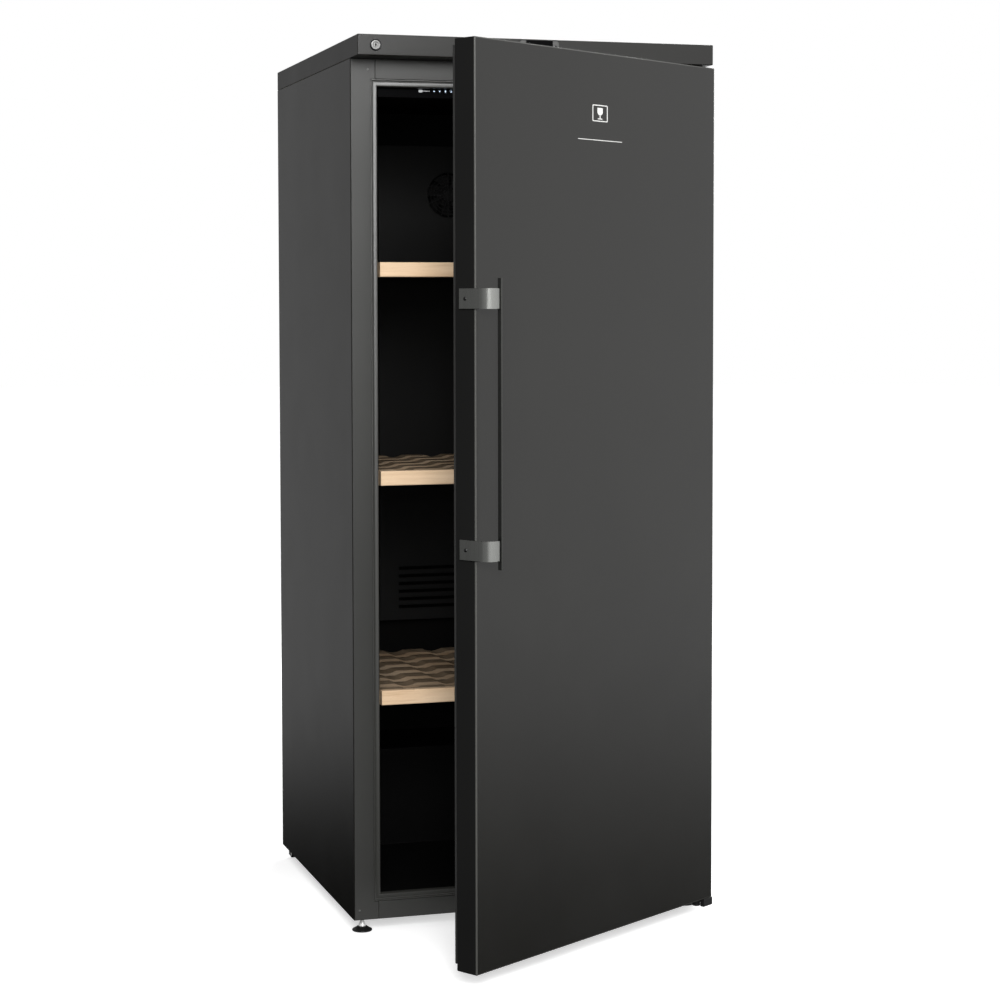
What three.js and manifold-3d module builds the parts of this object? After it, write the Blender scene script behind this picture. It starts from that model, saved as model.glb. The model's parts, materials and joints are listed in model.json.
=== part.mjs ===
// A free-standing wine cooler: an insulated upright cabinet with one solid door hinged on its right,
// shown with the door part open. Millimetres, +Z up. The cabinet is drawn with X from its left side,
// Y from the front plane of its frame towards the back, and Z from the floor; at the end it is moved
// so that the origin is at the bottom centre of the whole object's box.
import * as THREE from "three";
import { mergeVertices } from "three/addons/utils/BufferGeometryUtils.js";
import { ConvexGeometry } from "three/addons/geometries/ConvexGeometry.js";
import Module from "manifold-3d";

const wasm = await Module();
wasm.setup();

// ---------------------------------------------------------------- driving dimensions
const WIDTH = 680;
const DEPTH = 620; // body, without the door
const GROUND_CLEARANCE = 24;
const BODY_TOP = 1595; // underside of the cap
const CAP_HEIGHT = 37;
const GAP = 0.3; // between pieces that touch
const SHEET = 1.2; // painted steel sheet

const GASKET_SPACE = 13; // between the frame and the closed door
const DOOR_THICKNESS = 45;
const DOOR_BOTTOM = 27;
const DOOR_TOP = 1591;
const DOOR_OPEN_DEG = 31.8; // how far the door stands open at rest
const HINGE_X = 661;
const HINGE_Y = -35.5;
const DOOR_BACK = -GASKET_SPACE;
const DOOR_FRONT = -GASKET_SPACE - DOOR_THICKNESS;

const FRAME_DEPTH = 12; // the frame's profiles, front to back
const POST_WIDTH = 47;
const TRIM_OUTER = { x0: 38, x1: WIDTH - 38, z0: 57, z1: 1559 };
const OPENING = { x0: 52, x1: WIDTH - 52, z0: 71, z1: 1547.5 };
const LINER_WALL = 2.5;
const CAVITY_BACK = 555;
const STEP_FRONT = 365; // the liner's floor steps up here, over the machine compartment
const STEP_HEIGHT = 265;
const BACK_PANEL_Y = 592;
const MACHINE_FRONT = 408.5; // front wall of the machine compartment
const MACHINE_TOP = 226;

const SHELF_TOPS = [1230, 848, 442.5]; // upper edge of each shelf's front strip
const SHELF_FRONT_Y = 20;
const STRIP = { x0: 60, x1: WIDTH - 60, height: 27, thickness: 18 };
const DECK = { x0: 56, x1: WIDTH - 56, back: 520, thickness: 18, slats: 7 };

const LOCK = { x: 33, z: 1613, barrelRadius: 8.6, bezelRadius: 10.5, camLength: 34 };
const FOOT = { x: 20, y: 20, padRadius: 18.5, studRadius: 5 };
const ROLLER = { x: 22, y: 598, radius: 10, width: 18.4, bore: 2.8 };
const HANDLE = {
  z0: 711,
  z1: 1195,
  strapHeight: 34,
  strapCentres: [743, 1161],
  strapThickness: 3,
  reach: 32, // how far the straps stand out from the door
  bend: 22, // outer radius of a strap's curve
  lead: 6.5, // straight part between the curve and the bar
  barWidth: 5,
  barDepth: 8,
};
const FAN = { x: 340, z: 1380, radius: 43, bladeCount: 5 };
const BUTTONS = { x: 161.5, z: 1541, pitch: 10.9, width: 8, height: 7, count: 4 };

// ---------------------------------------------------------------- materials
const finish = (color, roughness, metalness = 0) =>
  new THREE.MeshStandardMaterial({ color, roughness, metalness });
const charcoalPaint = finish(0x484845, 0.55, 0.2);
const framePaint = finish(0x5a5a57, 0.6);
const blackPlastic = finish(0x121212, 0.5);
const blackGloss = finish(0x08080a, 0.12);
const blackSteel = finish(0x1a1a1a, 0.4, 0.6);
const zincSteel = finish(0xa8a8a5, 0.35, 0.9);
const chrome = finish(0xd0d0d0, 0.12, 1);
const rubber = finish(0x6a6a68, 0.7);
const foam = finish(0xd9cfa0, 0.9);
const beech = finish(0xdcc09a, 0.55);
const greyPlastic = finish(0x8a8a88, 0.6);
const clearLens = finish(0xe8ecf0, 0.2);
const copper = finish(0xb4693d, 0.3, 0.9);
const aluminium = finish(0xb0b2b4, 0.35, 0.8);

// ---------------------------------------------------------------- solids
// A closed three.js geometry as a manifold-3d solid.
function solidOf(geometry) {
  const bare = geometry.clone();
  for (const name of Object.keys(bare.attributes)) {
    if (name !== "position") bare.deleteAttribute(name);
  }
  const merged = mergeVertices(bare, 1e-4);
  return new wasm.Manifold(
    new wasm.Mesh({
      numProp: 3,
      vertProperties: merged.attributes.position.array,
      triVerts: new Uint32Array(merged.index.array),
    }),
  );
}

function geometryOf(solid) {
  const mesh = solid.getMesh();
  const geometry = new THREE.BufferGeometry();
  geometry.setAttribute("position", new THREE.BufferAttribute(mesh.vertProperties, 3));
  geometry.setIndex(new THREE.BufferAttribute(mesh.triVerts, 1));
  geometry.computeVertexNormals();
  return geometry;
}

const join = (first, ...rest) =>
  geometryOf(rest.reduce((sum, g) => sum.add(solidOf(g)), solidOf(first)));
const cut = (first, ...tools) =>
  geometryOf(tools.reduce((left, g) => left.subtract(solidOf(g)), solidOf(first)));

// ---------------------------------------------------------------- shapes
function block(x0, x1, y0, y1, z0, z1) {
  const geometry = new THREE.BoxGeometry(x1 - x0, y1 - y0, z1 - z0);
  return geometry.translate((x0 + x1) / 2, (y0 + y1) / 2, (z0 + z1) / 2);
}

// A round bar between two points.
function rod(radius, from, to, sides = 24) {
  const a = new THREE.Vector3(...from);
  const b = new THREE.Vector3(...to);
  const geometry = new THREE.CylinderGeometry(radius, radius, a.distanceTo(b), sides);
  const turn = new THREE.Quaternion().setFromUnitVectors(
    new THREE.Vector3(0, 1, 0),
    b.clone().sub(a).normalize(),
  );
  return geometry.applyQuaternion(turn).translate(...a.add(b).multiplyScalar(0.5).toArray());
}

// A shape of revolution about a vertical axis, from [radius, z] points.
function turned(points, x, y, sides = 28) {
  const profile = points.map(([radius, z]) => new THREE.Vector2(radius, z));
  return new THREE.LatheGeometry(profile, sides).rotateX(Math.PI / 2).translate(x, y, 0);
}

function outline(points) {
  return new THREE.Shape(points.map(([u, v]) => new THREE.Vector2(u, v)));
}

// A rectangle with round corners.
function roundedRectangle(u0, u1, v0, v1, radius, Kind = THREE.Shape) {
  const shape = new Kind();
  shape.absarc(u1 - radius, v1 - radius, radius, 0, Math.PI / 2, false);
  shape.absarc(u0 + radius, v1 - radius, radius, Math.PI / 2, Math.PI, false);
  shape.absarc(u0 + radius, v0 + radius, radius, Math.PI, Math.PI * 1.5, false);
  shape.absarc(u1 - radius, v0 + radius, radius, Math.PI * 1.5, Math.PI * 2, false);
  shape.closePath();
  return shape;
}

const extruded = (shape, depth, curveSegments = 4) =>
  new THREE.ExtrudeGeometry(shape, { depth, bevelEnabled: false, curveSegments });

// A flat shape drawn in X and Z, from y0 back to y1.
const slabXZ = (shape, y0, y1, segments) =>
  extruded(shape, y1 - y0, segments).rotateX(Math.PI / 2).translate(0, y1, 0);
// A flat shape drawn in Y and Z, from x0 to x1.
const slabYZ = (shape, x0, x1, segments) =>
  extruded(shape, x1 - x0, segments)
    .rotateX(Math.PI / 2)
    .rotateZ(Math.PI / 2)
    .translate(x0, 0, 0);
// A flat shape drawn in X and Y, from z0 up to z1.
const slabXY = (shape, z0, z1, segments) => extruded(shape, z1 - z0, segments).translate(0, 0, z0);

// A tube along a half circle that joins two horizontal runs.
class HalfCircle extends THREE.Curve {
  constructor(centre, radius, side) {
    super();
    Object.assign(this, { centre, radius, side });
  }
  getPoint(t, target = new THREE.Vector3()) {
    const angle = Math.PI * t;
    const out = Math.sin(angle) * this.radius * this.side;
    return target.set(this.centre[0] + out, this.centre[1], this.centre[2] + Math.cos(angle) * this.radius);
  }
}

function tube(curve, radius, steps, sides = 8) {
  const section = new THREE.Shape();
  section.absarc(0, 0, radius, 0, Math.PI * 2, false);
  const options = { steps, extrudePath: curve, bevelEnabled: false, curveSegments: sides };
  return new THREE.ExtrudeGeometry(section, options);
}

const cabinet = new THREE.Group();
const closedDoor = new THREE.Group(); // its pieces are drawn where they are when the door is shut

function piece(name, geometry, material, group = cabinet) {
  const mesh = new THREE.Mesh(geometry, material);
  mesh.name = name;
  group.add(mesh);
}

// ---------------------------------------------------------------- outer casing
function addCasing() {
  const top = BODY_TOP - 0.5;
  piece("side_panel_left", block(0, SHEET, 0, DEPTH, GROUND_CLEARANCE, top), charcoalPaint);
  piece("side_panel_right", block(WIDTH - SHEET, WIDTH, 0, DEPTH, GROUND_CLEARANCE, top), charcoalPaint);

  const inset = SHEET + GAP;
  const backPanel = block(inset, WIDTH - inset, BACK_PANEL_Y, BACK_PANEL_Y + SHEET, MACHINE_TOP + GAP, top);
  piece("back_panel", backPanel, zincSteel);

  const panY = FRAME_DEPTH + 2 * GAP;
  const studHoles = [FOOT.x, WIDTH - FOOT.x].map((x) =>
    rod(FOOT.studRadius + 0.5, [x, FOOT.y, GROUND_CLEARANCE - 5], [x, FOOT.y, GROUND_CLEARANCE + 5]),
  );
  const pan = block(inset, WIDTH - inset, panY, DEPTH - 1, GROUND_CLEARANCE, GROUND_CLEARANCE + SHEET);
  piece("base_pan", cut(pan, ...studHoles), zincSteel);

  const machineWall = outline([
    [MACHINE_FRONT, GROUND_CLEARANCE + SHEET + GAP],
    [MACHINE_FRONT + SHEET, GROUND_CLEARANCE + SHEET + GAP],
    [MACHINE_FRONT + SHEET, MACHINE_TOP - SHEET],
    [BACK_PANEL_Y, MACHINE_TOP - SHEET],
    [BACK_PANEL_Y, MACHINE_TOP],
    [MACHINE_FRONT, MACHINE_TOP],
  ]);
  piece("machine_panel", slabYZ(machineWall, inset, WIDTH - inset), zincSteel);
}

// The cavity's outline in Y and Z, grown outwards by `grow`.
function cavityOutline(grow, front) {
  return outline([
    [front, OPENING.z0 - grow],
    [STEP_FRONT + grow, OPENING.z0 - grow],
    [STEP_FRONT + grow, STEP_HEIGHT - grow],
    [CAVITY_BACK + grow, STEP_HEIGHT - grow],
    [CAVITY_BACK + grow, OPENING.z1 + grow],
    [front, OPENING.z1 + grow],
  ]);
}

function addInsulation() {
  const inset = SHEET + GAP;
  const front = FRAME_DEPTH + 2 * GAP;
  const back = BACK_PANEL_Y - GAP;
  const body = block(inset, WIDTH - inset, front, back, GROUND_CLEARANCE + inset, BODY_TOP - 0.5);
  const grow = LINER_WALL + GAP;
  const cavity = slabYZ(cavityOutline(grow, 0), OPENING.x0 - grow, OPENING.x1 + grow);
  const machine = block(0, WIDTH, MACHINE_FRONT - GAP, DEPTH, 0, MACHINE_TOP + GAP);
  const studPockets = [FOOT.x, WIDTH - FOOT.x].map((x) =>
    rod(FOOT.studRadius + 2, [x, FOOT.y, 0], [x, FOOT.y, GROUND_CLEARANCE + 30]),
  );
  piece("cabinet_foam", cut(body, cavity, machine, ...studPockets), foam);
}

function addLiner() {
  const front = FRAME_DEPTH + GAP;
  const outer = slabYZ(cavityOutline(LINER_WALL, front), OPENING.x0 - LINER_WALL, OPENING.x1 + LINER_WALL);
  const inner = slabYZ(cavityOutline(0, 0), OPENING.x0, OPENING.x1);
  const ledgeWidth = 16;
  const ledges = SHELF_TOPS.flatMap((top) => {
    const upper = top - 3 - DECK.thickness - GAP;
    return [
      block(OPENING.x0 - 1, OPENING.x0 + ledgeWidth, 45, DECK.back, upper - 10, upper),
      block(OPENING.x1 - ledgeWidth, OPENING.x1 + 1, 45, DECK.back, upper - 10, upper),
    ];
  });
  piece("inner_liner", join(cut(outer, inner), ...ledges), blackPlastic);
}

// The front frame: two posts, two rails, and the bevelled trim round the opening.
function addFrame() {
  const inset = SHEET + GAP;
  const top = BODY_TOP - 0.5;
  const notch = TRIM_OUTER.x0 - GAP;
  const low = TRIM_OUTER.z0 - GAP;
  const high = TRIM_OUTER.z1 + GAP;
  const edge = POST_WIDTH - GAP;
  const postOutline = (side) =>
    [
      [inset, GROUND_CLEARANCE],
      [edge, GROUND_CLEARANCE],
      [edge, low],
      [notch, low],
      [notch, high],
      [edge, high],
      [edge, top],
      [inset, top],
    ].map(([x, z]) => [side === "left" ? x : WIDTH - x, z]);
  for (const side of ["left", "right"]) {
    piece(`frame_post_${side}`, slabXZ(outline(postOutline(side)), 0, FRAME_DEPTH), framePaint);
  }
  piece("frame_rail_top", block(POST_WIDTH, WIDTH - POST_WIDTH, 0, FRAME_DEPTH, high, top), framePaint);
  piece(
    "frame_rail_bottom",
    block(POST_WIDTH, WIDTH - POST_WIDTH, 0, FRAME_DEPTH, GROUND_CLEARANCE, low),
    framePaint,
  );

  const corners = (r, y) =>
    [r.x0, r.x1].flatMap((x) => [r.z0, r.z1].map((z) => new THREE.Vector3(x, y, z)));
  const land = 0.8; // flat rim before the bevel starts
  const rim = {
    x0: TRIM_OUTER.x0 + land,
    x1: TRIM_OUTER.x1 - land,
    z0: TRIM_OUTER.z0 + land,
    z1: TRIM_OUTER.z1 - land,
  };
  const funnel = new ConvexGeometry([...corners(rim, 0.2), ...corners(OPENING, FRAME_DEPTH)]);
  const solid = block(TRIM_OUTER.x0, TRIM_OUTER.x1, 0.3, FRAME_DEPTH, TRIM_OUTER.z0, TRIM_OUTER.z1);
  const through = block(OPENING.x0, OPENING.x1, -1, FRAME_DEPTH + 1, OPENING.z0, OPENING.z1);
  piece("opening_trim", cut(solid, funnel, through), framePaint);
}

// ---------------------------------------------------------------- top cap, display and lock
const CAP_TOP = BODY_TOP + CAP_HEIGHT;
const CAP_WALL = 3;
const CAP_FLOOR_TOP = BODY_TOP + CAP_WALL;
const DISPLAY = { x0: 303, x1: 377, z0: BODY_TOP + 9, z1: CAP_TOP - 2.2, depth: 1.8 };
const CAM = { y0: -49, y1: -46, halfWidth: 6 };

function addCap() {
  const shell = block(0, WIDTH, DOOR_FRONT, DEPTH, BODY_TOP, CAP_TOP);
  const overBody = block(CAP_WALL, WIDTH - CAP_WALL, 1, DEPTH - CAP_WALL, BODY_TOP - 1, CAP_TOP - CAP_WALL);
  const overDoor = block(
    CAP_WALL,
    WIDTH - CAP_WALL,
    DOOR_FRONT + CAP_WALL,
    2,
    CAP_FLOOR_TOP,
    CAP_TOP - CAP_WALL,
  );
  const camSlot = block(
    LOCK.x - 9,
    LOCK.x + LOCK.camLength + 4,
    CAM.y0 - 2,
    CAM.y1 + 2,
    BODY_TOP - 1,
    CAP_FLOOR_TOP + 1,
  );
  const pinHole = rod(4.5, [HINGE_X, HINGE_Y, BODY_TOP - 1], [HINGE_X, HINGE_Y, CAP_FLOOR_TOP + 1]);
  const lockFront = [LOCK.x, DOOR_FRONT - 1, LOCK.z];
  const lockHole = rod(LOCK.barrelRadius + GAP, lockFront, [LOCK.x, DOOR_FRONT + 5, LOCK.z]);
  const { x0, x1, z0, z1, depth } = DISPLAY;
  const recess = block(x0 - GAP, x1 + GAP, DOOR_FRONT - 1, DOOR_FRONT + depth, z0 - GAP, z1 + GAP);
  piece("top_cap", cut(shell, overBody, overDoor, camSlot, pinHole, lockHole, recess), charcoalPaint);

  const lens = roundedRectangle(x0, x1, z0, z1, 4);
  piece("display_window", slabXZ(lens, DOOR_FRONT - 0.4, DOOR_FRONT + depth - GAP, 5), blackGloss);
  piece("electronics_box", block(240, 440, -44, 60, CAP_FLOOR_TOP + GAP, CAP_TOP - 8), greyPlastic);
}

function addLock() {
  const { x, z, barrelRadius, bezelRadius, camLength } = LOCK;
  const ringBack = DOOR_FRONT - GAP;
  const ring = cut(
    rod(bezelRadius, [x, ringBack - 1.5, z], [x, ringBack, z], 32),
    rod(barrelRadius + GAP, [x, ringBack - 3, z], [x, ringBack + 1, z], 32),
  );
  piece("lock_bezel", ring, blackPlastic);

  const barrelFront = ringBack - 2;
  const keyway = block(x - 0.6, x + 0.6, barrelFront - 1, barrelFront + 3, z - 3, z + 3);
  const barrel = rod(barrelRadius, [x, barrelFront, z], [x, CAM.y0 - GAP, z], 28);
  piece("lock_barrel", cut(barrel, keyway), chrome);

  const arm = block(x, x + camLength, CAM.y0, CAM.y1, z - CAM.halfWidth, z + CAM.halfWidth);
  piece("lock_cam", join(rod(8, [x, CAM.y0, z], [x, CAM.y1, z], 20), arm), zincSteel);
}

// ---------------------------------------------------------------- hinges
const PIN_RADIUS = 4;
const BUSH = { radius: 8, bore: PIN_RADIUS + GAP, length: 18 };

function addHinges() {
  const plateTop = GROUND_CLEARANCE - GAP;
  const plateBottom = plateTop - 3;
  const pin = rod(PIN_RADIUS, [HINGE_X, HINGE_Y, plateBottom], [HINGE_X, HINGE_Y, DOOR_BOTTOM + 15]);
  const washer = rod(7, [HINGE_X, HINGE_Y, plateTop - 1], [HINGE_X, HINGE_Y, DOOR_BOTTOM - GAP]);
  const nut = rod(10, [HINGE_X, HINGE_Y, plateBottom - 10], [HINGE_X, HINGE_Y, plateBottom + 1], 28);
  const nose = rod(12, [HINGE_X, HINGE_Y, plateBottom], [HINGE_X, HINGE_Y, plateTop], 32);
  const neck = block(HINGE_X - 20, HINGE_X + 3, HINGE_Y, 0, plateBottom, plateTop);
  const foot = block(HINGE_X - 25, WIDTH - 3, -2, 90, plateBottom, plateTop);
  const footX = WIDTH - FOOT.x;
  const studHole = rod(FOOT.studRadius + 0.5, [footX, FOOT.y, 0], [footX, FOOT.y, 40]);
  piece("lower_hinge_bracket", cut(join(nose, neck, foot, pin, washer, nut), studHole), blackSteel);

  const armBottom = CAP_FLOOR_TOP + GAP;
  const armTop = armBottom + 3;
  const upperPin = rod(PIN_RADIUS, [HINGE_X, HINGE_Y, DOOR_TOP - 15], [HINGE_X, HINGE_Y, armTop]);
  const upperWasher = rod(7, [HINGE_X, HINGE_Y, DOOR_TOP + GAP], [HINGE_X, HINGE_Y, BODY_TOP - GAP]);
  const arm = block(HINGE_X - 25, WIDTH - CAP_WALL - 1, HINGE_Y - 14, 90, armBottom, armTop);
  const seat = block(HINGE_X - 25, WIDTH - CAP_WALL - 1, 8, 90, BODY_TOP - 0.2, armTop);
  piece("upper_hinge_bracket", join(arm, seat, upperPin, upperWasher), blackSteel);
}

// ---------------------------------------------------------------- feet and rear rollers
function addFeet() {
  for (const [side, x] of [["left", FOOT.x], ["right", WIDTH - FOOT.x]]) {
    const pad = [[0, 0], [FOOT.padRadius, 0], [FOOT.padRadius, 2.5], [9.5, 8], [0, 8]];
    piece(`foot_pad_${side}`, turned(pad, x, FOOT.y), blackPlastic);
    const stud = FOOT.studRadius;
    const flare = [[5.5, 8 + GAP], [7, 12], [stud + 0.4, 19], [stud, 19.6]];
    const stem = [[0, 8 + GAP], ...flare, [stud, 50], [0, 50]];
    piece(`foot_stem_${side}`, turned(stem, x, FOOT.y, 24), chrome);
  }
}

function addRollers() {
  const cheek = 2;
  const { y, radius, width, bore } = ROLLER;
  const top = GROUND_CLEARANCE - GAP;
  for (const [side, x] of [["left", ROLLER.x], ["right", WIDTH - ROLLER.x]]) {
    const inner = width / 2 + 0.5;
    const outer = inner + cheek;
    const bridge = block(x - outer, x + outer, y - 11, y + 11, top - 2, top);
    const cheeks = [
      block(x - outer, x - inner, y - 9, y + 9, 5, top - 1),
      block(x + inner, x + outer, y - 9, y + 9, 5, top - 1),
    ];
    const axle = rod(bore - GAP, [x - outer - 1, y, radius], [x + outer + 1, y, radius], 16);
    piece(`roller_bracket_${side}`, join(bridge, ...cheeks, axle), zincSteel);
    const tread = cut(
      rod(radius, [x - width / 2, y, radius], [x + width / 2, y, radius], 32),
      rod(bore, [x - width, y, radius], [x + width, y, radius], 16),
    );
    piece(`roller_${side}`, tread, blackPlastic);
  }
}

// ---------------------------------------------------------------- refrigeration
const COMPRESSOR = { x: 470, y: 505, radius: 72, z0: 38, height: 148 };

function addCompressor() {
  const { x, y, radius, z0, height } = COMPRESSOR;
  const panTop = GROUND_CLEARANCE + SHEET + GAP;
  const shell = turned(
    [
      [0, z0],
      [radius - 16, z0],
      [radius - 3, z0 + 12],
      [radius, z0 + 30],
      [radius, z0 + 96],
      [radius - 8, z0 + 122],
      [radius - 30, z0 + 141],
      [0, z0 + height],
    ],
    x,
    y,
    32,
  );
  const plate = block(x - 95, x + 95, y - 62, y + 62, z0 - 4, z0 + 1);
  const grommets = [-80, 80].flatMap((dx) =>
    [-46, 46].map((dy) => rod(12, [x + dx, y + dy, panTop], [x + dx, y + dy, z0 - 3], 20)),
  );
  const relay = block(x - radius - 26, x - radius + 14, y - 26, y + 26, z0 + 34, z0 + 92);
  piece("compressor", join(shell, plate, relay, ...grommets), blackSteel);

  const trayBottom = z0 + height + GAP;
  const tray = block(x - 75, x + 75, y - 65, y + 65, trayBottom, trayBottom + 20);
  const well = block(x - 73, x + 73, y - 63, y + 63, trayBottom + 2, trayBottom + 30);
  piece("drip_tray", cut(tray, well), greyPlastic);
}

const CONDENSER = { x0: 90, x1: WIDTH - 90, y: 604, z0: 300, z1: 1500, runs: 9, tubeRadius: 2.6 };

function addCondenser() {
  const { x0, x1, y, z0, z1, runs, tubeRadius } = CONDENSER;
  const pitch = (z1 - z0) / (runs - 1);
  const runsOfTube = [];
  const bends = [];
  for (let i = 0; i < runs; i++) {
    const z = z0 + i * pitch;
    runsOfTube.push(rod(tubeRadius, [x0 - 0.5, y, z], [x1 + 0.5, y, z], 6));
    if (i < runs - 1) {
      const right = i % 2 === 0;
      const centre = [right ? x1 : x0, y, z + pitch / 2];
      bends.push(tube(new HalfCircle(centre, pitch / 2, right ? 1 : -1), tubeRadius, 8, 3));
    }
  }
  const straps = [];
  const strapCount = 5;
  for (let i = 0; i < strapCount; i++) {
    const x = x0 + 25 + (i * (x1 - x0 - 50)) / (strapCount - 1);
    straps.push(block(x - 5, x + 5, y - tubeRadius - 0.4, y - tubeRadius + 1, z0 - 20, z1 + 20));
  }
  piece("condenser", join(runsOfTube[0], ...runsOfTube.slice(1), ...bends, ...straps), blackSteel);

  const drierX = 600;
  const drier = [[0, 95], [3, 95], [3, 104], [9, 112], [9, 190], [3, 198], [3, 207], [0, 207]];
  piece("filter_drier", turned(drier, drierX, y - 24, 20), copper);

  const dischargeRoute = new THREE.CatmullRomCurve3(
    [
      [COMPRESSOR.x - 30, 571, 175],
      [COMPRESSOR.x - 30, 592, 188],
      [COMPRESSOR.x - 60, 603, 205],
      [250, 604, 212],
      [140, 604, 216],
      [90, 604, 235],
      [66, 604, 262],
      [60, 604, 284],
      [68, 604, 299],
      [x0 - 0.8, 604, z0],
    ].map((p) => new THREE.Vector3(...p)),
  );
  piece("discharge_pipe", tube(dischargeRoute, 2.6, 28, 4), copper);

  const glandZ = GROUND_CLEARANCE + SHEET + GAP;
  const gland = join(
    block(634, 662, 594, 612, glandZ, glandZ + 16),
    rod(6, [648, 600, glandZ + 9], [648, 618, glandZ + 9], 20),
  );
  piece("cable_gland", gland, blackPlastic);
}

// ---------------------------------------------------------------- cold air
const DUCT = { x0: 190, x1: 490, y0: 528, z0: 500, z1: 1480, wall: 2 };

function addAirDuct() {
  const { x0, x1, y0, z0, z1, wall } = DUCT;
  const back = CAVITY_BACK - GAP;
  const box = block(x0, x1, y0, back, z0, z1);
  const inside = block(x0 + wall, x1 - wall, y0 + wall, back + 1, z0 + wall, z1 - wall);
  const mouth = rod(FAN.radius + 3, [FAN.x, y0 - 1, FAN.z], [FAN.x, y0 + wall + 1, FAN.z], 32);
  const slots = [];
  for (let i = 0; i < 6; i++) {
    const z = z0 + 24 + i * 16;
    slots.push(block(x0 + 40, x1 - 40, y0 - 1, y0 + wall + 1, z, z + 7));
  }
  const reach = FAN.radius + 6;
  const guard = [
    block(FAN.x - reach, FAN.x + reach, y0, y0 + wall, FAN.z - 1.5, FAN.z + 1.5),
    block(FAN.x - 1.5, FAN.x + 1.5, y0, y0 + wall, FAN.z - reach, FAN.z + reach),
  ];
  piece("air_duct_cover", join(cut(box, inside, mouth, ...slots), ...guard), blackPlastic);
  piece("evaporator", block(x0 + 18, x1 - 18, y0 + 7, back - 4, z0 + 140, z0 + 780), aluminium);

  const motorFront = y0 + 16;
  piece("fan_motor", rod(24, [FAN.x, motorFront, FAN.z], [FAN.x, back - GAP, FAN.z], 24), blackPlastic);

  const impellerBack = motorFront - 1;
  const impellerFront = y0 + wall + 2;
  const hub = rod(15, [FAN.x, impellerFront, FAN.z], [FAN.x, impellerBack, FAN.z], 24);
  const blades = [];
  for (let i = 0; i < FAN.bladeCount; i++) {
    const blade = new THREE.BoxGeometry(FAN.radius - 12, 1.6, 22)
      .rotateX(0.45)
      .translate((FAN.radius + 12) / 2, 0, 0)
      .rotateY((i * 2 * Math.PI) / FAN.bladeCount)
      .translate(FAN.x, (impellerFront + impellerBack) / 2, FAN.z);
    blades.push(blade);
  }
  piece("fan_impeller", join(hub, ...blades), greyPlastic);
}

// ---------------------------------------------------------------- controls and light inside the top
const PANEL = { x0: 56, x1: WIDTH - 56, y0: 16, y1: 44, z0: 1528, z1: OPENING.z1 - GAP };

function addControls() {
  const { x0, x1, y0, y1, z0, z1 } = PANEL;
  const buttonDepth = 4;
  const pockets = [];
  for (let i = 0; i < BUTTONS.count; i++) {
    const x = BUTTONS.x + i * BUTTONS.pitch;
    const halfWidth = BUTTONS.width / 2;
    const halfHeight = BUTTONS.height / 2;
    const z = BUTTONS.z;
    const across = halfWidth + GAP;
    const up = halfHeight + GAP;
    pockets.push(block(x - across, x + across, y0 - 1, y0 + 5, z - up, z + up));
    const cap = roundedRectangle(x - halfWidth, x + halfWidth, z - halfHeight, z + halfHeight, 1.2);
    piece(`button_${i + 1}`, slabXZ(cap, y0 - 1.4, y0 - 1.4 + buttonDepth + 1.4, 3), blackGloss);
  }
  piece("control_panel", cut(block(x0, x1, y0, y1, z0, z1), ...pockets), blackGloss);

  const lens = roundedRectangle(240, 440, 62, 80, 4);
  piece("light_bar", slabXY(lens, OPENING.z1 - 8, OPENING.z1 - GAP, 5), clearLens);
}

// ---------------------------------------------------------------- shelves
function addShelves() {
  SHELF_TOPS.forEach((top, index) => {
    const stripBack = SHELF_FRONT_Y + STRIP.thickness;
    const section = roundedRectangle(SHELF_FRONT_Y, stripBack, top - STRIP.height, top, 2.5);
    piece(`shelf_front_${index + 1}`, slabYZ(section, STRIP.x0, STRIP.x1, 3), beech);

    const deckTop = top - 3;
    const deckBottom = deckTop - DECK.thickness;
    const front = stripBack + GAP;
    const railWidth = 18;
    const rails = [
      block(DECK.x0, DECK.x0 + railWidth, front, DECK.back, deckBottom, deckTop),
      block(DECK.x1 - railWidth, DECK.x1, front, DECK.back, deckBottom, deckTop),
    ];
    const slatWidth = 42;
    const pitch = (DECK.back - front - slatWidth) / (DECK.slats - 1);
    const slats = [];
    for (let i = 0; i < DECK.slats; i++) {
      const y = front + i * pitch;
      slats.push(block(DECK.x0 + 1, DECK.x1 - 1, y, y + slatWidth, deckTop - 10, deckTop - 0.5));
    }
    piece(`shelf_deck_${index + 1}`, join(rails[0], rails[1], ...slats), beech);
  });
}

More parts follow.
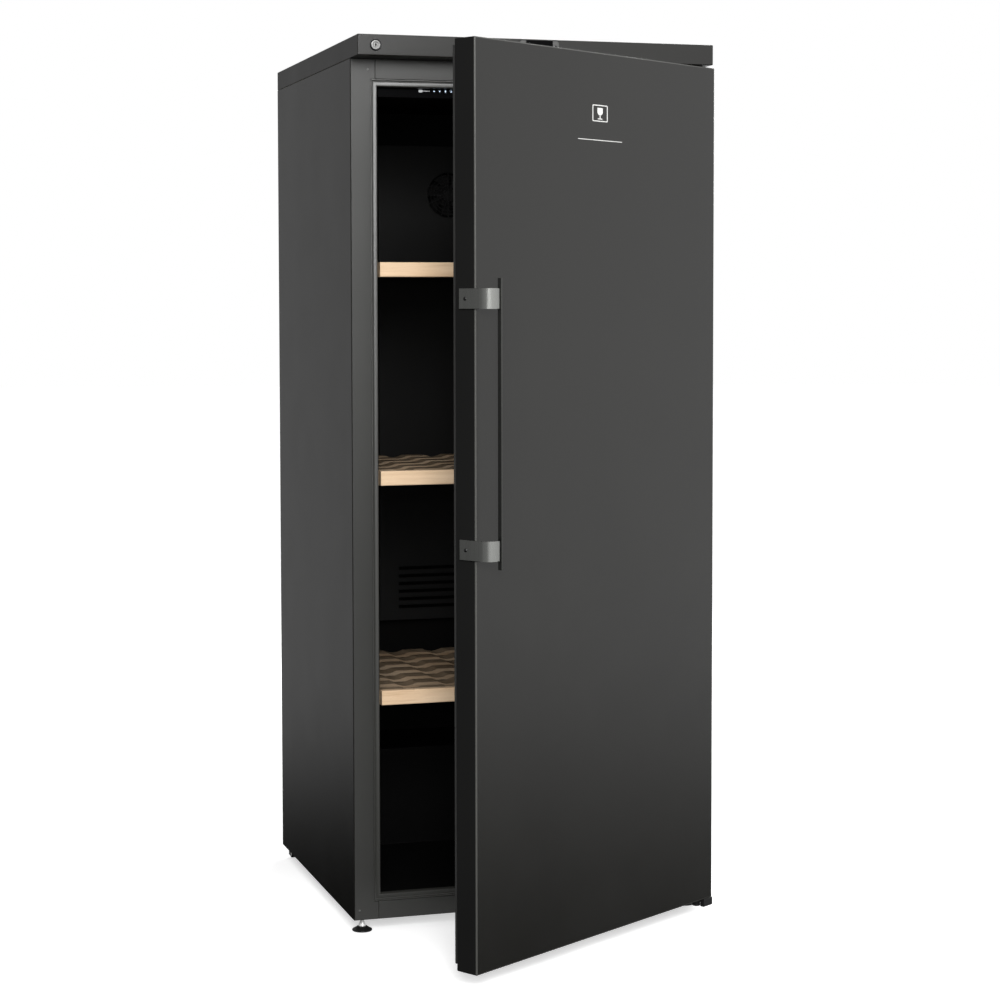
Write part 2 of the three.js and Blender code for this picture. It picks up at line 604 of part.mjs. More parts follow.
// ---------------------------------------------------------------- door
function addDoorPanel() {
  const pinWell = (z0, z1) => rod(BUSH.radius + GAP, [HINGE_X, HINGE_Y, z0], [HINGE_X, HINGE_Y, z1]);
  const wells = [
    pinWell(DOOR_BOTTOM - 1, DOOR_BOTTOM + BUSH.length + GAP),
    pinWell(DOOR_TOP - BUSH.length - GAP, DOOR_TOP + 1),
  ];
  const camWell = block(
    LOCK.x - 10,
    LOCK.x + 10,
    CAM.y0 - 2.5,
    CAM.y1 + 2.5,
    DOOR_TOP - 18,
    DOOR_TOP + 1,
  );

  const wall = SHEET;
  const shell = block(0, WIDTH, DOOR_FRONT, DOOR_BACK, DOOR_BOTTOM, DOOR_TOP);
  const inside = block(
    wall,
    WIDTH - wall,
    DOOR_FRONT + wall,
    DOOR_BACK - wall,
    DOOR_BOTTOM + wall,
    DOOR_TOP - wall,
  );
  const lip = 12; // the sheet's return round the back
  const mouth = block(lip, WIDTH - lip, DOOR_BACK - 5, DOOR_BACK + 1, DOOR_BOTTOM + lip, DOOR_TOP - lip);
  piece("door_skin", cut(shell, inside, mouth, camWell, ...wells), charcoalPaint, closedDoor);

  const inset = wall + GAP;
  const linerDepth = 2.2;
  const foamBack = DOOR_BACK - inset - linerDepth;
  const coreFront = DOOR_FRONT + inset;
  const core = block(inset, WIDTH - inset, coreFront, foamBack, DOOR_BOTTOM + inset, DOOR_TOP - inset);
  piece("door_foam", cut(core, camWell, ...wells), foam, closedDoor);

  const edge = lip + GAP;
  const sheet = block(
    inset,
    WIDTH - inset,
    foamBack + GAP,
    foamBack + linerDepth,
    DOOR_BOTTOM + inset,
    DOOR_TOP - inset,
  );
  const raisedBack = DOOR_BACK - GAP;
  const raised = block(edge, WIDTH - edge, foamBack + 1, raisedBack, DOOR_BOTTOM + edge, DOOR_TOP - edge);
  piece("door_liner", cut(join(sheet, raised), camWell, ...wells), blackPlastic, closedDoor);
}

const GASKET = { x0: 9, x1: 655, z0: 36, z1: 1582, width: 17 };

function addDoorSeal() {
  const { x0, x1, z0, z1, width } = GASKET;
  const ring = roundedRectangle(x0, x1, z0, z1, 6);
  ring.holes.push(roundedRectangle(x0 + width, x1 - width, z0 + width, z1 - width, 3, THREE.Path));
  piece("door_gasket", slabXZ(ring, DOOR_BACK + GAP, -0.5, 3), rubber, closedDoor);
}

function addHandle() {
  const { strapThickness: thickness, bend, lead, barWidth, barDepth } = HANDLE;
  const outer = -thickness - GAP; // the strap's outer face beside the door's edge
  const turn = DOOR_FRONT - HANDLE.reach + bend; // where the strap starts to curve
  const strap = new THREE.Shape();
  strap.moveTo(-GAP, DOOR_BACK - 12);
  strap.lineTo(outer, DOOR_BACK - 12);
  strap.lineTo(outer, turn);
  strap.absarc(outer + bend, turn, bend, Math.PI, Math.PI * 1.5, false);
  strap.lineTo(outer + bend + lead, turn - bend);
  strap.lineTo(outer + bend + lead, turn - bend + thickness);
  strap.lineTo(outer + bend, turn - bend + thickness);
  strap.absarc(outer + bend, turn, bend - thickness, Math.PI * 1.5, Math.PI, true);
  strap.closePath();
  const names = ["handle_strap_lower", "handle_strap_upper"];
  HANDLE.strapCentres.forEach((z, i) => {
    const half = HANDLE.strapHeight / 2;
    piece(names[i], slabXY(strap, z - half, z + half, 10), blackSteel, closedDoor);
  });

  const barX = outer + bend + lead + GAP;
  const barY = turn - bend + thickness / 2;
  const bar = roundedRectangle(barX, barX + barWidth, barY - barDepth / 2, barY + barDepth / 2, 1.4);
  piece("handle_bar", slabXY(bar, HANDLE.z0, HANDLE.z1, 3), blackSteel, closedDoor);
}

function addDoorFittings() {
  const bush = (z0, z1) =>
    cut(
      rod(BUSH.radius, [HINGE_X, HINGE_Y, z0], [HINGE_X, HINGE_Y, z1]),
      rod(BUSH.bore, [HINGE_X, HINGE_Y, z0 - 1], [HINGE_X, HINGE_Y, z1 + 1]),
    );
  piece("door_bush_lower", bush(DOOR_BOTTOM, DOOR_BOTTOM + BUSH.length), greyPlastic, closedDoor);
  piece("door_bush_upper", bush(DOOR_TOP - BUSH.length, DOOR_TOP), greyPlastic, closedDoor);

  const stopTop = DOOR_BOTTOM - GAP;
  const stop = block(WIDTH - 25, WIDTH + 2.5, DOOR_FRONT, HINGE_Y - 13.2, stopTop - 14.5, stopTop);
  piece("door_stop", stop, blackPlastic, closedDoor);
}

// ---------------------------------------------------------------- assembly
addCasing();
addInsulation();
addLiner();
addFrame();
addCap();
addLock();
addHinges();
addFeet();
addRollers();
addCompressor();
addCondenser();
addAirDuct();
addControls();
addShelves();
addDoorPanel();
addDoorSeal();
addHandle();
addDoorFittings();

const door = new THREE.Group();
door.position.set(HINGE_X, HINGE_Y, 0);
door.rotation.z = THREE.MathUtils.degToRad(DOOR_OPEN_DEG);
closedDoor.position.set(-HINGE_X, -HINGE_Y, 0);
door.add(closedDoor);
cabinet.add(door);

const bounds = new THREE.Box3().setFromObject(cabinet, true);
const middle = bounds.getCenter(new THREE.Vector3());
cabinet.position.set(-middle.x, -middle.y, -bounds.min.z);

const wineCooler = new THREE.Group();
wineCooler.add(cabinet);

export default wineCooler;
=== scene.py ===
import json
from math import cos, pi, radians, sin

import bmesh
import bpy
from mathutils import Matrix, Vector
from mathutils.geometry import interpolate_bezier

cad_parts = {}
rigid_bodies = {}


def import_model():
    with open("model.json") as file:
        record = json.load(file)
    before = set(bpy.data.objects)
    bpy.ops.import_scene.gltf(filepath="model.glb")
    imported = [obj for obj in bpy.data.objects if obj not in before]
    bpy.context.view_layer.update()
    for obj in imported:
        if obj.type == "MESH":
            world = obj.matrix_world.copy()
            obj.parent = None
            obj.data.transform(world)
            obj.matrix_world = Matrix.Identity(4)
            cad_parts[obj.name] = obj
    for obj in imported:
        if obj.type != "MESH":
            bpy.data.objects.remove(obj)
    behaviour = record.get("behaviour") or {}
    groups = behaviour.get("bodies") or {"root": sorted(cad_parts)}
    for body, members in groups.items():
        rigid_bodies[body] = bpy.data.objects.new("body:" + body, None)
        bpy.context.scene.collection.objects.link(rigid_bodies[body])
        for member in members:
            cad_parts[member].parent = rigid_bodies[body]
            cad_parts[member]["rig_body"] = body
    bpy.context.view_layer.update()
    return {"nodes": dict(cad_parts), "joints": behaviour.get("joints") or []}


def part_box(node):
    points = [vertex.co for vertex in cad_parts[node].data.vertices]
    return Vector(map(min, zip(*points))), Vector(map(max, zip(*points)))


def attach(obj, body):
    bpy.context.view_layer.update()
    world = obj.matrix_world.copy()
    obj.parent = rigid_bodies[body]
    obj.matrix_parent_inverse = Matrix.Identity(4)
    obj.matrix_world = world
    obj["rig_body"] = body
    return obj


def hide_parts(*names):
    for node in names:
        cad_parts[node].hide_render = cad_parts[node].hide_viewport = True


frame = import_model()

MM = 0.001
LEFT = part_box("side_panel_left")[0].x
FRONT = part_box("frame_post_left")[0].y
SOFT_ANGLE = radians(38)  # faces that meet at less than this shade as one curve
SHARP_ANGLE = radians(30)  # CAD faces that meet at more than this get a rounded edge
LINER_WALL = 2.5
STEEL_GAP = 0.3  # between metal parts that meet

DOOR_JOINT = next(joint for joint in frame["joints"] if joint["name"] == "door_hinge")
HINGE = Vector(DOOR_JOINT["pos_m"])
OPEN_ANGLE = radians(-DOOR_JOINT["range_deg"][0])
ABOUT_HINGE = Matrix.Rotation(OPEN_ANGLE, 4, "Z")
DOOR_OPEN = Matrix.Translation(HINGE) @ ABOUT_HINGE @ Matrix.Translation(-HINGE)
DOOR_SHUT = DOOR_OPEN.inverted()


def at(x, y, z):
    return Vector((LEFT + x * MM, FRONT + y * MM, z * MM))


def body_of(node):
    return frame["nodes"][node]["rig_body"]


def span(node):
    """A node's lowest and highest corners in cabinet millimetres, a door node's with the door shut."""
    turn = DOOR_SHUT if body_of(node) == "door" else Matrix()
    points = [turn @ v.co for v in frame["nodes"][node].data.vertices]
    low = Vector(min(p[i] for p in points) for i in range(3))
    high = Vector(max(p[i] for p in points) for i in range(3))
    origin = at(0, 0, 0)
    return (low - origin) / MM, (high - origin) / MM


def middle(node):
    low, high = span(node)
    return (low + high) / 2


# ---- camera
# Found from the photograph's straight edges, with the CAD's dimensions.
SENSOR, LENS = 36, 80.7192
SHIFT_X, SHIFT_Y = 0.055, -0.068  # the photograph was cropped off its lens's axis
CAMERA_PLACE = (-977.1, -3943.1, 1141.6)
CAMERA_YAW, CAMERA_PITCH, CAMERA_ROLL = 16.304, -3.1015, -0.1679


def add_camera():
    data = bpy.data.cameras.new("camera")
    data.sensor_width, data.lens = SENSOR, LENS
    data.shift_x, data.shift_y = SHIFT_X, SHIFT_Y
    camera = bpy.data.objects.new("camera", data)
    bpy.context.scene.collection.objects.link(camera)
    turn = (
        Matrix.Rotation(radians(-CAMERA_YAW), 4, "Z")
        @ Matrix.Rotation(radians(90 + CAMERA_PITCH), 4, "X")
        @ Matrix.Rotation(radians(CAMERA_ROLL), 4, "Z")
    )
    camera.matrix_world = Matrix.Translation(at(*CAMERA_PLACE)) @ turn
    bpy.context.scene.camera = camera


add_camera()


# ---- finishes
class Nodes:
    """The node tree of a material or a world."""

    def __init__(self, owner):
        owner.use_nodes = True
        self.tree = owner.node_tree

    def node(self, kind, **values):
        made = self.tree.nodes.new("ShaderNode" + kind)
        for name, value in values.items():
            if name in made.inputs:
                made.inputs[name].default_value = value
            else:
                setattr(made, name, value)
        return made

    def link(self, source, target):
        self.tree.links.new(source, target)

    def map_range(self, source, **values):
        made = self.node("MapRange", **{name.replace("_", " "): value for name, value in values.items()})
        self.link(source, made.inputs["Value"])
        return made

    def ramp(self, source, stops):
        """A colour for each value of the source, through stops of (value, colour)."""
        made = self.node("ValToRGB")
        elements = made.color_ramp.elements
        elements[0].position, elements[-1].position = stops[0][0], stops[-1][0]
        for position, _ in stops[1:-1]:
            elements.new(position)
        for element, (_, colour) in zip(elements, stops):
            element.color = (*colour, 1)
        self.link(source, made.inputs["Fac"])
        return made.outputs["Color"]


class Finish(Nodes):
    """A procedural material and the record's slot that it belongs to."""

    def __init__(self, name, slot):
        self.slot = slot
        self.material = bpy.data.materials.new(name)
        super().__init__(self.material)
        self.shader = self.tree.nodes["Principled BSDF"]

    def set(self, **values):
        for name, value in values.items():
            self.shader.inputs[name.replace("_", " ")].default_value = value

    def place(self, stretch=(1, 1, 1)):
        """Object coordinates in metres, stretched along the axes."""
        coordinates = self.node("TexCoord")
        mapping = self.node("Mapping", Scale=stretch)
        self.link(coordinates.outputs["Object"], mapping.inputs["Vector"])
        return mapping.outputs["Vector"]

    def noise(self, scale, stretch=(1, 1, 1), detail=3.0):
        made = self.node("TexNoise", Scale=scale, Detail=detail)
        self.link(self.place(stretch), made.inputs["Vector"])
        return made.outputs["Fac"]

    def cells(self, scale, stretch=(1, 1, 1), output="Distance"):
        made = self.node("TexVoronoi", Scale=scale)
        self.link(self.place(stretch), made.inputs["Vector"])
        return made.outputs[output]

    def colour(self, source):
        self.link(source, self.shader.inputs["Base Color"])

    def roughness(self, source, low, high):
        made = self.map_range(source, To_Min=low, To_Max=high)
        self.link(made.outputs["Result"], self.shader.inputs["Roughness"])

    def bump(self, source, strength, depth):
        """Adds relief of the given depth, in metres, over what is already there."""
        made = self.node("Bump", Strength=strength, Distance=depth)
        self.link(source, made.inputs["Height"])
        before = self.shader.inputs["Normal"].links
        if before:
            self.link(before[0].from_socket, made.inputs["Normal"])
        self.link(made.outputs["Normal"], self.shader.inputs["Normal"])


def scaled(colour, factor):
    return tuple(min(1.0, c * factor) for c in colour)


def painted(name, slot, colour, rough, grain=1100, relief=0.16, specular=0.5):
    """Powder coat or moulded plastic: a fine peel, and slight changes of tone and gloss."""
    made = Finish(name, slot)
    tone = made.noise(3.2, detail=2.0)
    made.colour(made.ramp(tone, [(0.3, scaled(colour, 0.9)), (0.7, scaled(colour, 1.1))]))
    made.roughness(made.noise(9.0), rough - 0.04, rough + 0.04)
    made.bump(made.noise(grain, detail=2.0), relief, 0.0003)
    made.set(Specular_IOR_Level=specular)
    return made


def moulded(name, slot, colour, rough, specular=0.5):
    """Plastic with an etched leather-like grain."""
    made = painted(name, slot, colour, rough, grain=2400, relief=0.08, specular=specular)
    made.bump(made.cells(520), 0.3, 0.00025)
    return made


def metal(name, slot, colour, rough, brushed=(1, 1, 1), relief=0.12):
    """Bare or plated metal, brushed along the axis whose stretch is small."""
    made = Finish(name, slot)
    tone = made.noise(40, brushed)
    made.colour(made.ramp(tone, [(0.25, scaled(colour, 0.86)), (0.75, scaled(colour, 1.08))]))
    made.roughness(made.noise(700, brushed), rough - 0.06, rough + 0.08)
    made.bump(made.noise(700, brushed, 2.0), relief, 0.0002)
    made.set(Metallic=1.0)
    return made


def galvanised(name, slot):
    """Zinc-coated sheet with its crystal pattern."""
    made = Finish(name, slot)
    flakes = made.cells(95, output="Color")
    bright, dull = (0.5, 0.51, 0.52), (0.36, 0.37, 0.38)
    made.colour(made.ramp(flakes, [(0.1, dull), (0.9, bright)]))
    made.roughness(flakes, 0.34, 0.52)
    made.bump(made.noise(350), 0.12, 0.0003)
    made.set(Metallic=1.0)
    return made


def rubbery(name, slot, colour):
    made = painted(name, slot, colour, 0.62, grain=1600, relief=0.22, specular=0.35)
    made.bump(made.noise(60, (1, 1, 0.2)), 0.2, 0.0005)
    return made


def wooden(name, slot, tone=1.0):
    """Beech: long straight grain, and the short darker flecks that beech shows."""
    made = Finish(name, slot)
    grain = made.node("TexNoise", Scale=3.0, Detail=6.0, Roughness=0.62, Distortion=0.35)
    made.link(made.place((1.6, 26, 26)), grain.inputs["Vector"])
    shades = (0.8, 0.61, 0.42), (0.71, 0.51, 0.33), (0.55, 0.365, 0.215)
    pale, warm, dark = (scaled(shade, tone) for shade in shades)
    base = made.ramp(grain.outputs["Fac"], [(0.3, dark), (0.45, warm), (0.66, pale)])
    fleck = made.ramp(made.cells(1.0, (110, 620, 620)), [(0.06, (1, 1, 1)), (0.2, (0, 0, 0))])
    mix = made.node("Mix", data_type="RGBA")
    weaken = made.node("Math", operation="MULTIPLY")
    weaken.inputs[1].default_value = 0.42
    made.link(fleck, weaken.inputs[0])
    made.link(weaken.outputs[0], mix.inputs[0])
    made.link(base, mix.inputs[6])
    mix.inputs[7].default_value = (*scaled(dark, 0.8), 1)
    made.colour(mix.outputs[2])
    made.roughness(grain.outputs["Fac"], 0.42, 0.56)
    made.bump(grain.outputs["Fac"], 0.25, 0.0004)
    return made


def foamy(name, slot):
    made = painted(name, slot, (0.72, 0.6, 0.33), 0.85, grain=300, relief=0.3, specular=0.2)
    made.bump(made.cells(260), 0.6, 0.0012)
    return made


def glowing(name, slot, colour, strength):
    made = painted(name, slot, colour, 0.3)
    made.set(Emission_Color=(*colour, 1), Emission_Strength=strength)
    return made


CHARCOAL = (0.0092, 0.0090, 0.0078)
casing = painted("charcoal_powder_coat", "casing_paint", CHARCOAL, 0.22)
cap_paint = painted("cap_powder_coat", "casing_paint", CHARCOAL, 0.3)
frame_paint = painted("frame_powder_coat", "frame_finish", (0.021, 0.0212, 0.0192), 0.45, specular=1.0)
# a lighter copy of the frame paint: partly the trim's own enamel, partly painted highlight on its bead and
# band
trim_paint_and_highlight = painted("trim_enamel_and_highlight", "frame_finish", (0.03, 0.0302, 0.0275), 0.33, specular=1.0)
# the edge's own black, made dull and kept this dark: partly painted shade on the door's side faces
edge_black_and_shade = painted("side_black_and_painted_shade", "casing_paint", (0.0085, 0.0085, 0.0083), 0.5, specular=0.12)
# lighter than the casing: a painted highlight along the door's rounded front edges
rim_highlight = painted("rim_painted_highlight", "casing_paint", (0.055, 0.055, 0.051), 0.25, specular=0.5)
black_plastic = moulded("black_moulding", "black_plastic", (0.008, 0.008, 0.008), 0.5, specular=0.32)
foot_plastic = painted("foot_moulding", "black_plastic", (0.01, 0.01, 0.01), 0.26, grain=300, relief=0.05)
liner_plastic = moulded("liner_moulding", "black_plastic", (0.003, 0.003, 0.003), 0.5, specular=0.15)
gloss = painted("black_gloss", "gloss_black", (0.004, 0.004, 0.005), 0.13, grain=90, relief=0.02)
panel_black = painted("panel_black", "gloss_black", (0.001, 0.001, 0.0012), 0.42, specular=0.04)
strap_steel = metal("strap_steel", "black_steel", (0.33, 0.335, 0.32), 0.27, (1, 1, 0.04), relief=0.04)
bar_steel = metal("bar_steel", "black_steel", (0.085, 0.086, 0.082), 0.27, (1, 1, 0.04), relief=0.04)
black_steel = painted("black_steel_paint", "black_steel", (0.014, 0.014, 0.014), 0.38)
zinc = galvanised("galvanised_sheet", "zinc_steel")
zinc_plated = metal("zinc_plated", "zinc_steel", (0.55, 0.55, 0.53), 0.34)
satin = metal("satin_metal", "chrome", (0.5, 0.5, 0.49), 0.4, brushed=(0.04, 1, 1))
lock_steel = metal("lock_steel", "chrome", (0.25, 0.25, 0.245), 0.36, relief=0.08)
# plating whose whiteness is partly painted reflection: a pale base, only part metal, stands in for the
# white studio seen in it
plating_and_painted_reflection = metal("plating_and_painted_reflection", "chrome", (0.82, 0.82, 0.81), 0.34, relief=0.05)
plating_and_painted_reflection.set(Metallic=0.4)
end_steel = metal("end_steel", "chrome", (0.13, 0.13, 0.128), 0.38, brushed=(0.04, 1, 1))
dark_screw = metal("dark_screw", "black_steel", (0.12, 0.12, 0.12), 0.3)
inner_panel_plastic = moulded("inner_panel_moulding", "black_plastic", (0.014, 0.014, 0.014), 0.42)
seal = rubbery("seal_rubber", "seal_rubber", (0.035, 0.035, 0.034))
grommet = rubbery("grommet_rubber", "seal_rubber", (0.02, 0.02, 0.02))
foam = foamy("insulating_foam", "insulation")
beech = wooden("beech_grain", "beech_wood")
# beech darkened to 0.3 of its tone: painted shade for the unlit inside of the cabinet
shaded_deck_wood = wooden("deck_grain_painted_shade", "beech_wood", tone=0.3)
grey_plastic = moulded("grey_moulding", "grey_plastic", (0.2, 0.2, 0.195), 0.5)
lens = glowing("light_lens", "light_lens", (0.72, 0.76, 0.8), 0.05)
icon_light = glowing("icon_light", "light_lens", (0.55, 0.68, 0.85), 0.7)
status_white = painted("status_lens", "light_lens", (0.42, 0.43, 0.44), 0.4)
print_white = painted("printed_white", "light_lens", (0.72, 0.72, 0.7), 0.5)
copper = metal("copper_tube", "copper", (0.62, 0.27, 0.13), 0.3)
aluminium = metal("aluminium_fins", "aluminium", (0.62, 0.63, 0.64), 0.36, brushed=(1, 1, 0.05))


# ---- shapes
def add_block(bm, low, high, bevel=0.0, segments=2):
    """A block between two corners, with all its edges rounded."""
    corners = bmesh.ops.create_cube(bm, size=1.0)["verts"]
    for v in corners:
        v.co = at(*(low[i] + (v.co[i] + 0.5) * (high[i] - low[i]) for i in range(3)))
    if bevel:
        edges = list({e for v in corners for e in v.link_edges})
        round_edges(bm, edges, bevel, segments)


def round_edges(bm, edges, bevel, segments=2, clamp=True):
    size = {"offset": bevel * MM, "segments": segments, "profile": 0.5}
    bmesh.ops.bevel(bm, geom=edges, affect="EDGES", clamp_overlap=clamp, **size)


def beside(axis, u, v, w):
    """A point with w along the axis and (u, v) along the other two, in their own order."""
    return {"x": (w, u, v), "y": (u, w, v), "z": (u, v, w)}[axis]


def add_prism(bm, outline, axis, start, end, bevel=0.0, segments=2):
    """A flat outline drawn out along an axis, with the edges of its two ends rounded."""
    ends = [[bm.verts.new(at(*beside(axis, u, v, w))) for u, v in outline] for w in (start, end)]
    count = len(outline)
    for i in range(count):
        j = (i + 1) % count
        bm.faces.new((ends[0][i], ends[0][j], ends[1][j], ends[1][i]))
    caps = [bm.faces.new(ends[0][::-1]), bm.faces.new(ends[1])]
    if bevel:
        round_edges(bm, [e for cap in caps for e in cap.edges], bevel, segments)


def arc(u, v, radius, start, end, steps):
    """Points on an arc, from one angle to another in degrees."""
    angles = [radians(start + (end - start) * i / steps) for i in range(steps + 1)]
    return [(u + radius * cos(a), v + radius * sin(a)) for a in angles]


def circle(sides):
    return arc(0, 0, 1, 0, 360, sides)[:-1]


def rounded(u0, u1, v0, v1, radius, steps=6):
    """The outline of a rectangle with round corners."""
    return (
        arc(u1 - radius, v1 - radius, radius, 0, 90, steps)
        + arc(u0 + radius, v1 - radius, radius, 90, 180, steps)
        + arc(u0 + radius, v0 + radius, radius, 180, 270, steps)
        + arc(u1 - radius, v0 + radius, radius, 270, 360, steps)
    )


def rod(radius, low, high):
    """The profile of a plain round bar or hole, for add_lathe."""
    return [(0, low), (radius, low), (radius, high), (0, high)]


def add_lathe(bm, profile, centre, axis="z", sides=48):
    """A profile of (radius, height) points turned about an axis through the centre."""
    rings = []
    for radius, height in profile:
        around = circle(sides if radius > 0 else 1)
        offsets = [beside(axis, radius * u, radius * v, height) for u, v in around]
        rings.append([bm.verts.new(at(*(c + o for c, o in zip(centre, offset)))) for offset in offsets])
    for low, high in zip(rings, rings[1:]):
        join_rings(bm, low, high)
    for ring in (rings[0], rings[-1]):
        if len(ring) > 1:
            bm.faces.new(ring)


def join_rings(bm, low, high):
    sides = max(len(low), len(high))
    for i in range(sides):
        j = (i + 1) % sides
        if len(low) == 1:
            bm.faces.new((low[0], high[i], high[j]))
        elif len(high) == 1:
            bm.faces.new((low[i], low[j], high[0]))
        else:
            bm.faces.new((low[i], low[j], high[j], high[i]))


def add_tube(bm, points, radius, sides=10):
    """A round bar along a line of points in cabinet millimetres."""
    path = [at(*p) for p in points]
    rings = []
    across = None
    for i, point in enumerate(path):
        ahead = path[min(i + 1, len(path) - 1)] - path[max(i - 1, 0)]
        ahead.normalize()
        if across is None:
            across = ahead.orthogonal()
        across = (across - ahead * across.dot(ahead)).normalized()
        other = ahead.cross(across)
        spokes = [(across * u + other * v) * radius * MM for u, v in circle(sides)]
        rings.append([bm.verts.new(point + spoke) for spoke in spokes])
    for low, high in zip(rings, rings[1:]):
        join_rings(bm, low, high)
    bm.faces.new(rings[0][::-1])
    bm.faces.new(rings[-1])


def smooth_path(points, steps=8):
    """A smooth line through the points."""
    knots = [Vector(p) for p in points]
    line = [knots[0]]
    for i in range(len(knots) - 1):
        before = knots[max(i - 1, 0)]
        after = knots[min(i + 2, len(knots) - 1)]
        first = knots[i] + (knots[i + 1] - before) / 6
        second = knots[i + 1] - (after - knots[i]) / 6
        line += interpolate_bezier(knots[i], first, second, knots[i + 1], steps + 1)[1:]
    return line


def add_swept_rectangle(bm, section, x0, x1, z0, z1):
    """A closed section of (inset, y) points led round a rectangle, with mitred corners."""
    rings = []
    for inset, y in section:
        a, b, c, d = x0 + inset, x1 - inset, z0 + inset, z1 - inset
        rings.append([bm.verts.new(at(x, y, z)) for x, z in ((a, c), (b, c), (b, d), (a, d))])
    for i, ring in enumerate(rings):
        join_rings(bm, ring, rings[(i + 1) % len(rings)])


def new_object(name, bm, turn=None):
    bmesh.ops.recalc_face_normals(bm, faces=bm.faces)
    mesh = bpy.data.meshes.new(name)
    bm.to_mesh(mesh)
    bm.free()
    if turn:
        mesh.transform(turn)
    made = bpy.data.objects.new(name, mesh)
    bpy.context.scene.collection.objects.link(made)
    return made


def cut(bm, *tools):
    """Takes each tool's solid out of the first solid."""
    base = new_object("base", bm)
    cutters = [new_object("tool", tool) for tool in tools]
    for cutter in cutters:
        modifier = base.modifiers.new("cut", "BOOLEAN")
        modifier.object = cutter
        modifier.operation = "DIFFERENCE"
        modifier.solver = "EXACT"
    result = bmesh.new()
    result.from_object(base, bpy.context.evaluated_depsgraph_get())
    for made in (base, *cutters):
        mesh = made.data
        bpy.data.objects.remove(made)
        bpy.data.meshes.remove(mesh)
    return result


def shape(add, *arguments, **options):
    """A mesh of its own, made by one of the add_ functions."""
    bm = bmesh.new()
    add(bm, *arguments, **options)
    return bm


# ---- pieces
def piece(name, bm, finish, *replaces, body=None, drawn_shut=True, extra=()):
    """Makes an object that stands for some CAD nodes and rides on their body, or on a named one."""
    if body is None:
        body = body_of(replaces[0]) if replaces else "cabinet"
    made = new_object(name, bm, DOOR_OPEN if body == "door" and drawn_shut else None)
    for look in (finish, *extra):
        made.data.materials.append(look.material)
    made.data.shade_smooth()
    made.data.set_sharp_from_angle(angle=SOFT_ANGLE)
    made.modifiers.new("even_shading", "WEIGHTED_NORMAL").keep_sharp = True
    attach(made, body)
    if replaces:
        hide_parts(*replaces)
    return made


def softened(node, finish, bevel, segments=2, shortest=10):
    """A CAD node's own shape with its longer edges rounded."""
    bm = bmesh.new()
    bm.from_mesh(frame["nodes"][node].data)
    bmesh.ops.remove_doubles(bm, verts=bm.verts, dist=1e-6)
    bmesh.ops.dissolve_limit(bm, angle_limit=radians(1), verts=bm.verts, edges=bm.edges)
    edges = [
        e
        for e in bm.edges
        if e.is_manifold and e.calc_length() > shortest * MM and e.calc_face_angle() > SHARP_ANGLE
    ]
    round_edges(bm, edges, bevel, segments, clamp=False)
    piece(node + "_shell", bm, finish, node, drawn_shut=False)


def screw_shape(radius, height):
    """A pan-head screw with a cross recess, standing on the plane z = 0, in millimetres."""
    dome = [(radius, 0), (radius, height * 0.35), (radius * 0.8, height * 0.8), (radius * 0.4, height)]
    head = shape(add_lathe, dome + [(0, height)], (0, 0, 0), sides=24)
    arm, reach, depth = radius * 0.14, radius * 0.62, height * 0.45
    tools = [
        shape(add_block, (-reach, -arm, depth), (reach, arm, height * 2)),
        shape(add_block, (-arm, -reach, depth), (arm, reach, height * 2)),
    ]
    head = cut(head, *tools)
    head.transform(Matrix.Translation(-at(0, 0, 0)))
    mesh = bpy.data.meshes.new("screw")
    head.to_mesh(mesh)
    head.free()
    return mesh


SCREW = screw_shape(3.2, 1.5)
FACING = {
    "-y": Matrix.Rotation(radians(90), 4, "X"),
    "+y": Matrix.Rotation(radians(-90), 4, "X"),
    "-x": Matrix.Rotation(radians(-90), 4, "Y"),
    "-z": Matrix.Rotation(radians(180), 4, "X"),
}


def add_screw(bm, place, facing, size, spin):
    turn = FACING[facing] @ Matrix.Rotation(radians(spin), 4, "Z")
    known = len(bm.verts)
    bm.from_mesh(SCREW)
    bm.verts.ensure_lookup_table()
    whole = Matrix.Translation(at(*place)) @ turn @ Matrix.Scale(size, 4)
    for v in bm.verts[known:]:
        v.co = whole @ v.co


# ---- casing and frame
def make_casing():
    for side in ("left", "right"):
        softened("side_panel_" + side, casing, 0.5)
    softened("top_cap", cap_paint, 1.3, segments=3, shortest=28)
    softened("machine_panel", zinc, 0.4)
    softened("cabinet_foam", foam, 0.8, shortest=30)
    for side in ("left", "right"):
        softened("frame_post_" + side, frame_paint, 0.9, segments=3)
    for end in ("top", "bottom"):
        softened("frame_rail_" + end, frame_paint, 0.6)
    make_opening_trim()
    make_back_panel()
    make_base_pan()
    make_screws()


def make_opening_trim():
    """The moulding round the opening: an outer bead, a groove, a flat band and a sloping lip."""
    low, high = span("opening_trim")
    width = span("inner_liner")[0].x + LINER_WALL - low.x
    bead, groove, band = 2.8, 4.8, 5.6
    face = [(0, 1.0), (0.5, 0.3), (1.3, 0), (bead - 0.6, 0.2), (bead, 1.2), (bead + 0.3, 3.2)]
    face += [(groove, 3.3), (band, 2.4), (width - 3.4, 1.3), (width - 1.9, 1.7), (width - 0.8, 3.4)]
    face.append((width, 7.0))
    section = [(0, high.y), *((inset, low.y + depth) for inset, depth in face), (width, high.y)]
    bm = shape(add_swept_rectangle, section, low.x, high.x, low.z, high.z)
    # the moulding's lighter paint is partly painted highlight
    piece("opening_moulding", bm, trim_paint_and_highlight, "opening_trim")


